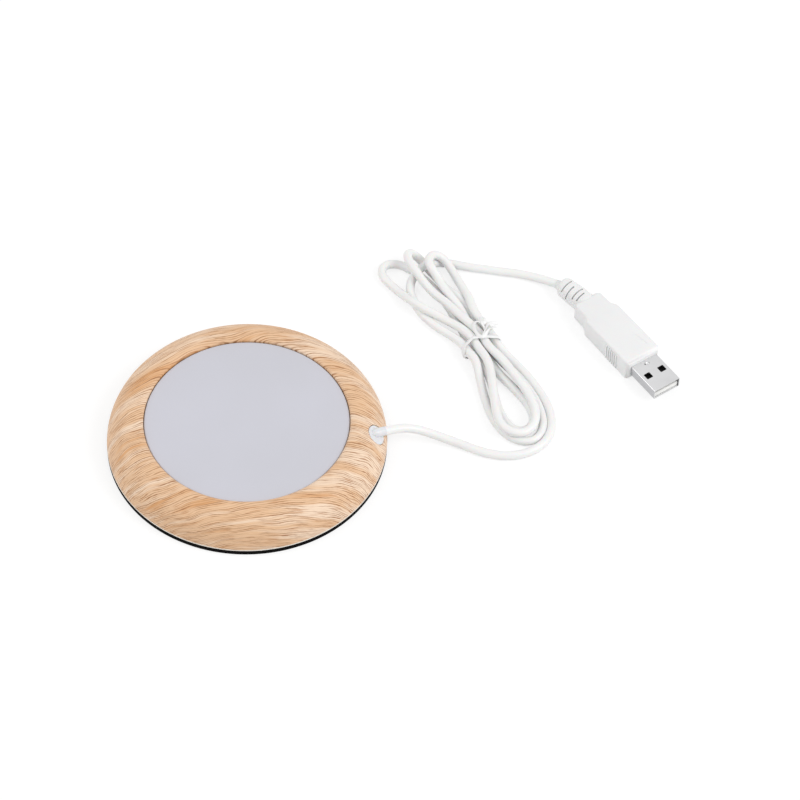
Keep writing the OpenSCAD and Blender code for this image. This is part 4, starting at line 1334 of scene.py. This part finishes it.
@dataclass
class TwistTie:
    """A flat plastic tie with a wire in it: once round the hank, then twisted into two eyes."""

    lead: Lead
    width: float = 2.3
    eye_width: float = 1.4
    thickness: float = 0.45
    wire: float = 0.34
    slack: float = 0.05
    arc_points: int = 36
    eye_points: int = 44
    # How far the band lies towards the front, against its side: straight, then a step at the left.
    drift: tuple[tuple[float, float], ...] = (
        (-7.9, 1.6), (-6.9, 0.2), (-5.9, -1.2), (-4.6, -2.0), (-2.0, -1.7), (2.0, -0.8), (7.6, 0.2),
    )
    # Side and height of the point that the slack side bulges out to.
    bulge: tuple[float, float] = (-7.5, 1.6)
    # Below this share of its height the left side slants to this far towards the front.
    slant_share: float = 0.45
    slant_shift: float = 3.2
    # Height of the line that the band's flat side faces away from.
    heart_height: float = 3.6
    # Distance between the points of an end, and how far its flat side leans towards the back.
    tail_step: float = 0.35
    tail_lean: float = 0.2
    # Each eye: its middle and far end, half its width, and how far its outer side turns up.
    eyes: tuple[tuple[str, Point, Point, float, float], ...] = (
        ("tie_eye", (86.5, 52.6, 8.1), (85.2, 56.1, 8.4), 1.95, 52.0),
        ("tie_small_eye", (87.6, 57.0, 8.5), (87.1, 58.5, 8.4), 0.95, 50.0),
    )
    # Each free end and the neck between the eyes: its points and its half turns.
    ends: tuple[tuple[str, tuple[Point, ...], float], ...] = (
        ("tie_end", ((87.9, 49.0, 7.3), (88.5, 51.4, 8.3), (89.4, 54.2, 8.7), (91.0, 56.0, 8.2),
                     (93.6, 56.5, 7.2)), 1.5),
        ("tie_short_end", ((88.3, 49.0, 7.3), (89.2, 50.9, 8.2), (90.8, 53.2, 8.2),
                           (92.8, 54.8, 7.4)), 1.0),
        ("tie_neck", ((87.7, 54.6, 8.2), (87.4, 55.6, 8.5), (87.4, 56.4, 8.5)), 0.5),
    )

    def outline(self) -> list[tuple[float, float]]:
        """Draws the tie's loop round the runs in it: arcs about the outer runs, and a slack side.

        Returns:
            Side and height of each point of its middle line, in millimetres.
        """
        reach = self.lead.diameter / 2 + self.slack + self.thickness / 2
        spots = [Vector((side / MM, height / MM)) for side, height in self.lead.lanes.values()]
        cloud = [
            spot + reach * Vector((cos(a), sin(a)))
            for spot in spots
            for a in (tau * i / self.arc_points for i in range(self.arc_points))
        ]
        cloud.append(Vector(self.bulge))
        cloud.sort(key=lambda p: (p.x, p.y))
        hull: list[Vector] = []
        for row in (cloud, cloud[::-1]):
            start = len(hull)
            for p in row:
                while len(hull) >= start + 2:
                    a, b = hull[-1] - hull[-2], p - hull[-1]
                    if a.x * b.y - a.y * b.x > 1e-9:
                        break
                    hull.pop()
                hull.append(p)
            hull.pop()
        return [(p.x, p.y) for p in hull]

    def ribbon(
        self, name: str, route: Sequence[Vector], faces: Sequence[Vector], width: float, closed: bool,
    ) -> Object:
        """Sweeps the tie's section, flat with a wire's bulge in the middle, along a route.

        Args:
            name: the piece's name.
            route: points of the middle line, in millimetres.
            faces: direction that the flat side faces at each point.
            width: width of the strip.
            closed: true where the route ends where it starts.

        Returns:
            The ribbon.
        """
        half, flat, bulge = width / 2, self.thickness / 2 * 0.55, self.wire / 2 + 0.06
        section = [
            (-half, 0.0), (-half * 0.9, flat), (-bulge * 1.6, flat), (-bulge, flat + 0.04),
            (0.0, bulge), (bulge, flat + 0.04), (bulge * 1.6, flat), (half * 0.9, flat),
        ]
        section += [(-x, -y) for x, y in section]
        count, sides = len(route), len(section)
        verts: list[Vector] = []
        for i, (centre, face) in enumerate(zip(route, faces)):
            before = route[i - 1] if closed or i else route[0]
            after = route[(i + 1) % count] if closed or i + 1 < count else route[-1]
            along = (after - before).normalized()
            out = (face - face.dot(along) * along).normalized()
            side = along.cross(out)
            verts += [(centre + side * x + out * y) * MM for x, y in section]
        for vert in verts:
            vert.z = max(vert.z, self.lead.clearance * MM)
        quads = [
            (i * sides + j, i * sides + (j + 1) % sides,
             (i + 1) % count * sides + (j + 1) % sides, (i + 1) % count * sides + j)
            for i in range(count if closed else count - 1)
            for j in range(sides)
        ]
        mesh = bpy.data.meshes.new(name)
        mesh.from_pydata(verts, [], quads)
        piece = added(name, mesh)
        edit(piece)
        if not closed:
            for end in (0, (count - 1) * sides):
                pick(piece, Element.VERT, lambda v, e=end: e <= v.index < e + sides)
                bpy.ops.mesh.edge_face_add()
        close_up()
        return piece

    def band(self) -> Object:
        """Bends the tie's loop round the hank: straight on top, slanting down its left side.

        Returns:
            The band.
        """
        along, across = self.lead.hank_axes()
        middle = Vector((*self.lead.tie_centre, 0)) / MM
        outline = self.outline()
        top = max(height for _, height in outline)
        sides, shifts = zip(*self.drift)
        route = []
        for side, height in outline:
            low = max(0.0, 1 - height / (self.slant_share * top)) if side < 0 else 0.0
            shift = float(np.interp(side, sides, shifts)) * (1 - low) + self.slant_shift * low
            route.append(middle + across * side + along * shift + Vector((0, 0, height)))
        heart = middle + Vector((0, 0, self.heart_height))
        faces = [p - heart for p in route]
        return self.ribbon("tie_band", route, faces, self.width, closed=True)

    def eye(self, name: str, centre: Point, far: Point, half_width: float, tilt: float) -> Object:
        """Bends one eye: an oval of the strip, standing on its edge and leaning outwards.

        Args:
            name: the piece's name.
            centre: the middle of the oval, in millimetres.
            far: the far end of the oval.
            half_width: half its width.
            tilt: how far the strip's outer side turns upwards, in degrees.

        Returns:
            The eye.
        """
        heart, way = Vector(centre), Vector(far) - Vector(centre)
        half_length, along = way.length, way.normalized()
        side = along.cross(Vector((0, 0, 1))).normalized()
        up = side.cross(along).normalized()
        lean = radians(tilt)
        route, faces = [], []
        for i in range(self.eye_points):
            angle = tau * i / self.eye_points
            c, n = cos(angle), sin(angle)
            route.append(heart + along * (half_length * c) + side * (half_width * n))
            out = (along * (half_width * c) + side * (half_length * n)).normalized()
            faces.append(out * cos(lean) + up * sin(lean))
        return self.ribbon(name, route, faces, self.eye_width, closed=True)

    def tail(self, name: str, points: Sequence[Point], turns: float) -> Object:
        """Bends one free end of the tie.

        Args:
            name: the piece's name.
            points: points that it passes through, in millimetres.
            turns: half turns that the strip makes on its way.

        Returns:
            The end.
        """
        line, _ = self.lead.through(np.array(points, float), self.tail_step)
        route = [Vector(p) for p in line]
        faces = []
        for i in range(len(route)):
            twist = pi * turns * i / (len(route) - 1)
            faces.append(Vector((sin(twist), self.tail_lean, cos(twist))))
        return self.ribbon(name, route, faces, self.eye_width, closed=False)

    def build(self) -> Object:
        """Bends the band, the eyes and the ends and joins them.

        Returns:
            The tie.
        """
        eyes = [self.eye(*values) for values in self.eyes]
        ends = [self.tail(*values) for values in self.ends]
        parts = [self.band(), *eyes, *ends]
        return hand_over(joined("twist_tie_strip", parts), TIE_PLASTIC, ["twist_tie"], angle=60)


@dataclass
class UsbPlug:
    """The flat plug: its moulded body, slotted relief, steel shell, carrier and contacts.

    It is modelled lying along X with its tip at the origin and then turned to its place.
    """

    tip: Point = (157.7, 28.5, 0.0)
    bearing: float = -53.7
    shell_width: float = 12.0
    shell_height: float = 4.5
    shell_length: float = 14.6
    shell_root: float = 5.0
    shell_wall: float = 0.3
    window: float = 2.7
    window_setback: float = 7.5
    window_offset: float = 3.2
    body_width: float = 15.6
    body_height: float = 9.5
    body_length: float = 29.2
    shoulder: float = 2.6
    taper: float = 0.6
    neck_length: float = 7.6
    neck_width: float = 12.8
    neck_height: float = 8.1
    rib_count: int = 6
    rib_pitch: float = 1.2
    rib_setback: float = 7.0
    rib_half: float = 0.25
    rib_root: float = 0.6
    rib_rise: float = 0.42
    rib_heights: tuple[float, float] = (1.2, 8.3)
    neck_end: float = 1.2
    front_chamfer: float = 1.4
    front_inset: float = 1.1
    # Roundings: the long edges, the other edges, and the edges of the smaller parts.
    long_round: float = 0.9
    edge_round: float = 0.25
    recess_round: float = 0.8
    rib_round: float = 0.2
    shell_round: float = 0.36
    window_round: float = 0.3
    carrier_round: float = 0.2
    contact_round: float = 0.12
    recess_setback: float = 4.2
    recess_length: float = 12.5
    recess_half: float = 4.9
    recess_depth: float = 0.16
    recess_narrowing: float = 0.62
    dimple: Point = (-12.6, 0.1, 0.6)
    dimple_radius: float = 0.8
    # Two corners of each slit beside the dimple.
    lances: tuple[tuple[tuple[float, float], tuple[float, float]], ...] = (
        ((-13.1, -1.0), (-12.4, -0.6)), ((-12.9, 0.85), (-12.2, 1.02)),
    )
    # The carrier: its nose, and where its white front meets its black back, behind the tip; the back is
    # black as painted shade, so the latch windows look dark.
    carrier_nose: float = 0.5
    painted_shade_back_start: float = 4.6
    carrier_play: float = 0.15
    carrier_height: float = 1.9
    # Middle of each contact, half its width, and its two ends behind the tip.
    contact_rows: tuple[float, ...] = (-3.5, -1.0, 1.0, 3.5)
    contact_half: float = 0.5
    contact_span: tuple[float, float] = (6.0, 1.6)
    groove_half: float = 0.65
    groove_span: tuple[float, float] = (6.1, 1.2)
    relief_course: tuple[Point, ...] = (
        (0.0, 0.0, 4.6), (4.0, -0.4, 4.5), (8.0, -0.9, 4.35), (11.4, -1.35, 4.1), (12.0, -1.45, 4.0),
        (12.2, -1.5, 3.95), (14.6, -2.4, 3.5),
    )
    relief_sides: int = 48
    relief_radii: tuple[float, ...] = (4.4, 4.35, 4.25, 4.05, 3.8, 2.0, 1.85)
    # Where the relief is rooted in the neck, and how far its slots turn to stand square to it.
    relief_root: float = 1.2
    relief_turn: float = 6.2
    # Half the width of a slot, and how far from the relief's axis its floor lies.
    slot_half: float = 0.3
    slot_floor: float = 2.1
    # Each slot: its place behind the neck, the middle of its arc and half its arc, in degrees.
    slots: tuple[Point, ...] = ((1.75, 22.0, 30.0), (3.9, 18.0, 43.0), (6.8, 44.0, 44.0), (9.6, 22.0, 44.0))

    @property
    def shell_low(self) -> float:
        """Height of the shell's underside: the shell lies in the middle of the body."""
        return (self.body_height - self.shell_height) / 2

    def place(self) -> Matrix:
        """Gives the plug's placement on the table."""
        turn = Matrix.Rotation(radians(self.bearing), 4, "Z")
        return Matrix.Translation(Vector(self.tip) * MM) @ turn

    def build_body(self) -> Object:
        """Moulds the body: a block that is drawn in to a neck at the back and rounded.

        Returns:
            The body.
        """
        front = -self.shell_length
        back = front - self.body_length + self.shoulder
        half, top = self.body_width / 2, self.body_height
        piece = block("plug_moulding", (back, -half, 0), (front, half, top))
        middle = (0, 0, top / 2)
        pick(piece, Element.FACE, lambda f: f.normal.x < -ALONG)
        resize((1, 1, (top - self.taper) / top), middle)
        # The back is drawn in: over the shoulder, along the neck, and to the neck's rounded end.
        # Each step has a length, and the share of the width and of the height that is left.
        steps = (
            (self.shoulder, self.neck_width / self.body_width, self.neck_height / (top - self.taper)),
            (self.neck_length - self.neck_end, 0.97, 0.97), (self.neck_end, 0.8, 0.84),
        )
        for length, wide, high in steps:
            extrude((-length, 0, 0))
            resize((1, wide, high), middle)
        # The front edge is a broad chamfer; the long edges are rounded.
        pick(piece, Element.FACE, lambda f: f.normal.x > ALONG)
        bpy.ops.mesh.inset(thickness=self.front_inset * MM, depth=0)
        rim = (front - 0.01) * MM, (half - 0.01) * MM
        pick(piece, Element.VERT, lambda v: v.co.x > rim[0] and abs(v.co.y) > rim[1])
        bpy.ops.transform.translate(value=(-self.front_chamfer * MM, 0, 0))
        round_edges(
            piece, self.long_round, 4,
            lambda e: lies_along(e, 0) > 0.6
            and min(v.co.x for v in e.verts) < (front - 0.5) * MM
            and max(v.co.x for v in e.verts) < (front - 1.0) * MM,
        )
        round_edges(
            piece, self.edge_round, 2,
            lambda e: not e.is_boundary and e.calc_face_angle(0) > 0.3
            and lies_along(e, 0) < 0.6,
        )
        leave_edit()
        return piece

    def build_label_recess(self) -> Object:
        """Makes the cutter of the shallow recess on top, narrower at the back.

        Returns:
            The cutter.
        """
        front, top = -self.shell_length - self.recess_setback, self.body_height
        low = (front - self.recess_length, -self.recess_half, top - self.recess_depth)
        piece = block("recess", low, (front, self.recess_half, top + 1.0))
        pick(piece, Element.VERT, lambda v: v.co.x < (front - self.recess_length / 2) * MM)
        resize((1, self.recess_narrowing, 1))
        round_edges(piece, self.recess_round, 3, lambda e: lies_along(e, 2) > ALONG)
        leave_edit()
        return piece

    def build_ribs(self) -> list[Object]:
        """Makes the finger ribs: one is rounded and copied along both sides.

        Returns:
            The ribs.
        """
        start = -self.shell_length - self.rib_setback
        half = self.body_width / 2
        low, high = self.rib_heights
        inner, outer = half - self.rib_root, half + self.rib_rise
        rib = block("rib", (start - self.rib_half, inner, low), (start + self.rib_half, outer, high))
        round_edges(rib, self.rib_round, 3, lambda e: all(v.co.y > half * MM for v in e.verts))
        leave_edit()
        ribs = [rib]
        ribs += [copied(rib, (-i * self.rib_pitch, 0, 0)) for i in range(1, self.rib_count)]
        ribs += [copied(r, (0, -inner - outer, 0)) for r in list(ribs)]
        return ribs

    def build_relief(self) -> Object:
        """Moulds the relief: a tapered tail with staggered slots across its top.

        Returns:
            The relief.
        """
        start = -self.shell_length - self.body_length - self.neck_length
        line = [(start - s, y, z) for s, y, z in self.relief_course]
        line.insert(0, (start + self.relief_root, *self.relief_course[0][1:]))
        # The very end is drawn out by a hair.
        last = Vector(line[-1])
        line[-1] = tuple(last + (last - Vector(line[-2])).normalized() * 0.01)
        radii = [self.relief_radii[0] - 0.2, *self.relief_radii]
        piece = tube("plug_tail", line, radii, self.relief_sides)
        stations, ways, heights = zip(*self.relief_course)
        cutters = []
        square = Matrix.Rotation(radians(self.relief_turn), 4, "Z")
        for back, middle, half in self.slots:
            radius = float(np.interp(back, stations, self.relief_radii))
            reach = radius * sin(radians(half))
            way, height = (np.interp(back, stations, row) for row in (ways, heights))
            spot = Vector((start - back, way, height))
            for turn in (middle, middle + 180):
                low, high = self.slot_floor, radius + 1.5
                slot = block("slot", (-self.slot_half, -reach, low), (self.slot_half, reach, high))
                leave_edit()
                about = Matrix.Rotation(radians(turn), 4, "X")
                cutters.append(put(slot, Matrix.Translation(spot * MM) @ square @ about))
        carve(piece, cutters)
        return piece

    def build_shell(self) -> Object:
        """Folds the steel shell: a bent tube with two latch windows and a lanced dimple.

        Returns:
            The shell.
        """
        half, low = self.shell_width / 2, self.shell_low
        high = low + self.shell_height
        back = -self.shell_length - self.shell_root
        piece = block("steel_shell", (back, -half, low), (0, half, high))
        round_edges(piece, self.shell_round, 4, lambda e: lies_along(e, 0) > ALONG)
        pick(piece, Element.FACE, lambda f: abs(f.normal.x) > ALONG)
        bpy.ops.mesh.delete(type="FACE")
        leave_edit()
        take(piece)
        wall = piece.modifiers.new("wall", "SOLIDIFY")
        wall.thickness = self.shell_wall * MM
        wall.offset = -1
        wall.use_even_offset = True
        bpy.ops.object.modifier_apply(modifier=wall.name)
        cutters = []
        for side in (-1, 1):
            y, w = side * self.window_offset, self.window / 2
            hole = block("window", (-self.window_setback - w, y - w, low - 1),
                         (-self.window_setback + w, y + w, high + 1))
            round_edges(hole, self.window_round, 3, lambda e: lies_along(e, 2) > ALONG)
            leave_edit()
            cutters.append(hole)
        clear_selection()
        x, y, z = self.dimple
        bpy.ops.mesh.primitive_uv_sphere_add(
            segments=32, ring_count=16, radius=self.dimple_radius * MM,
            location=(x * MM, y * MM, (high + z) * MM),
        )
        dimple = named("dimple")
        bpy.ops.object.transform_apply()
        for (x0, y0), (x1, y1) in self.lances:
            cutters.append(block("lance", (x0, y0, high - 1), (x1, y1, high + 1)))
            leave_edit()
        carve(piece, [*cutters, dimple])
        edit(piece)
        close_up(weld=0.002)
        return piece

    def build_carrier(self, name: str, back: float, front: float) -> Object:
        """Moulds one part of the contact carrier, with its nose rounded and grooves for contacts.

        Args:
            name: the piece's name.
            back: its back end, behind the plug's tip.
            front: its front end, behind the plug's tip.

        Returns:
            The part.
        """
        low = self.shell_low + self.shell_wall
        half = self.shell_width / 2 - self.shell_wall - self.carrier_play
        piece = block(name, (-back, -half, low), (-front, half, low + self.carrier_height))
        edge = -(front + 0.1) * MM
        round_edges(piece, self.carrier_round, 2, lambda e: all(v.co.x > edge for v in e.verts))
        leave_edit()
        grooves = []
        inner, outer = self.groove_span
        for y in self.contact_rows:
            left, right = y - self.groove_half, y + self.groove_half
            grooves.append(block("groove", (-inner, left, low + 1.75), (-outer, right, low + 3)))
            leave_edit()
        carve(piece, grooves)
        return piece

    def build_contacts(self) -> Object:
        """Stamps the four contacts: one is rounded along its top and copied.

        Returns:
            The contacts.
        """
        low = self.shell_low + self.shell_wall + self.carrier_height
        first, *others = self.contact_rows
        back, front = self.contact_span
        left, right = first - self.contact_half, first + self.contact_half
        strip = block("contact", (-back, left, low - 0.1), (-front, right, low + 0.2))
        edge = (low + 0.1) * MM
        round_edges(strip, self.contact_round, 2, lambda e: all(v.co.z > edge for v in e.verts))
        leave_edit()
        return joined("gold_contacts", [strip, *(copied(strip, (0, y - first, 0)) for y in others)])

    def build(self) -> list[Object]:
        """Builds every piece of the plug in its place.

        Returns:
            The pieces.
        """
        body = self.build_body()
        length, half, root = self.shell_length, self.shell_width / 2, self.shell_length + self.shell_root
        carve(body, [self.build_label_recess()])
        low, high = self.shell_low, self.shell_low + self.shell_height
        socket = block("socket", (-root, -half, low), (-length + 1, half, high))
        leave_edit()
        carve(body, [socket])
        body = joined("plug_moulding", [body, *self.build_ribs()])
        split = self.painted_shade_back_start
        work = (
            (body, PLUG_PVC, "plug_body", 30.0), (self.build_relief(), PLUG_PVC, "plug_relief", 35.0),
            (self.build_shell(), NICKEL_STEEL, "plug_shell", 30.0),
            (self.build_carrier("carrier_nose", split, self.carrier_nose), CARRIER, "plug_tongue", 30.0),
            # The black back stands in for the shade seen through the latch windows: painted shade.
            (self.build_carrier("contact_carrier", root, split), BLACK_ABS, "plug_tongue", 30.0),
            (self.build_contacts(), GOLD_FLASH, "plug_contacts", 30.0),
        )
        shell = work[2][0].data
        # The side walls, which get the painted shade, are found before the plug is turned to its place.
        walls = [f.index for f in shell.polygons if abs(f.normal.y) > 0.8]
        for piece, finish, node, angle in work:
            put(piece, self.place())
            hand_over(piece, finish, [node], angle)
        # Painted shade: the side walls get the darker copy of the steel.
        shell.materials.append(SHADED_WALL_STEEL.build())
        for index in walls:
            shell.polygons[index].material_index = 1
        return [piece for piece, *_ in work]


# ---------------------------------------------------------------- studio


@dataclass
class Studio:
    """White floor, soft daylight, and the camera, all at a plain level."""

    aim: Point = (0.0568, 0.0231, 0.0)
    elevation: float = 50.6
    roll: float = 1.6
    distance: float = 1.5
    lens: float = 178.13
    sky: float = 0.68
    floor_half: float = 3.0
    # The paper's tone where it lights the object, and where it is seen, which its glow lifts.
    floor_lit_tone: str = "#F2F2F2"
    floor_tone: str = "#9A9A9A"
    floor_glow: float = 0.74

    def eye(self) -> Point:
        """Works out where the camera stands.

        Returns:
            The place, in metres.
        """
        up = radians(self.elevation)
        back = Vector((0, -cos(up), sin(up)))
        return tuple(Vector(self.aim) + back * self.distance)

    def build_camera(self) -> None:
        """Sets the camera: it looks along +Y and down, turned a little about its own axis."""
        data = bpy.data.cameras.new("camera")
        data.lens = self.lens
        data.sensor_width = 36.0
        data.clip_start, data.clip_end = 0.05, 20.0
        camera = added("camera", data)
        up, roll = radians(self.elevation), radians(self.roll)
        back = Vector((0, -cos(up), sin(up)))
        level, rise = Vector((1, 0, 0)), Vector((0, sin(up), cos(up)))
        right = level * cos(roll) + rise * sin(roll)
        top = rise * cos(roll) - level * sin(roll)
        turn = Matrix((right, top, back)).transposed()
        camera.matrix_world = Matrix.Translation(self.eye()) @ turn.to_4x4()
        bpy.context.scene.camera = camera

    def seen_directly(self, tree: NodeTree) -> Node:
        """Tells camera, mirror and glass rays from the rays that light the object.

        Args:
            tree: the node tree.

        Returns:
            Node that gives 1 for such a ray and 0 for any other.
        """
        rays = add_node(tree, "LightPath").outputs
        links = {0: rays["Is Glossy Ray"], 1: rays["Is Transmission Ray"]}
        mirror = add_node(tree, "Math", links=links, operation="MAXIMUM")
        return add_node(tree, "Math", links={0: rays["Is Camera Ray"], 1: mirror}, operation="MAXIMUM")

    def build_sky(self) -> None:
        """Sets the world: white where it is seen, and soft daylight where it lights."""
        world = bpy.data.worlds.new("daylight")
        tree = empty_tree(world)
        values = {"To Min": self.sky, "To Max": 1.0}
        strength = add_node(tree, "MapRange", values, {"Value": self.seen_directly(tree)})
        light = add_node(tree, "Background", {"Color": (1.0, 1.0, 1.0, 1.0)}, {"Strength": strength})
        add_node(tree, "OutputWorld", links={"Surface": light})
        bpy.context.scene.world = world

    def build_floor(self) -> None:
        """Lays the floor: white paper that keeps the object's shadow."""
        clear_selection()
        bpy.ops.mesh.primitive_plane_add(size=2 * self.floor_half, location=(0, 0, 0))
        floor = named("paper_floor")
        material = bpy.data.materials.new("white_paper")
        tree = empty_tree(material)
        seen = self.seen_directly(tree)
        values = {MIX_UNDER: linear(self.floor_lit_tone), MIX_OVER: linear(self.floor_tone)}
        tone = add_node(tree, "Mix", values, {MIX_SHARE: seen}, data_type="RGBA").outputs[MIX_RESULT]
        paper = add_node(tree, "BsdfDiffuse", {"Roughness": 0.5}, {"Color": tone})
        lift = add_node(tree, "Math", {1: self.floor_glow}, {0: seen}, operation="MULTIPLY")
        glow = add_node(tree, "Emission", {"Color": (1.0, 1.0, 1.0, 1.0)}, {"Strength": lift})
        both = add_node(tree, "AddShader", links={0: paper, 1: glow})
        add_node(tree, "OutputMaterial", links={"Surface": both})
        floor.data.materials.append(material)

    def build_lamp(self, name: str, place: Point, size: float, power: float) -> None:
        """Hangs one square soft lamp that points at the object.

        Args:
            name: the lamp's name.
            place: where it hangs, in metres.
            size: its side, in metres.
            power: its power, in watts.
        """
        data = bpy.data.lights.new(name, "AREA")
        data.size = size
        data.energy = power
        lamp = added(name, data)
        way = Vector(self.aim) - Vector(place)
        turn = way.to_track_quat("-Z", "Y").to_matrix().to_4x4()
        lamp.matrix_world = Matrix.Translation(place) @ turn

    def build(self) -> None:
        """Builds the camera, the sky, the floor and the lamps."""
        self.build_camera()
        self.build_sky()
        self.build_floor()
        self.build_lamp("key_right", (1.35, -0.35, 1.25), 0.9, 13.4)
        self.build_lamp("fill_left", (-1.3, 0.1, 1.1), 1.2, 6.8)
        bpy.context.scene.view_settings.view_transform = "Standard"


def main() -> None:
    """Builds the warmer, its lead, its plug and the studio, in that order."""
    studio = Studio()
    Housing().build()
    InnerWorks().build()
    CordBush().build()
    lead = Lead()
    plug = UsbPlug().build()
    tie = TwistTie(lead).build()
    lead.build(studio.eye(), [tie, *plug])
    studio.build()


if __name__ == "__main__":
    main()
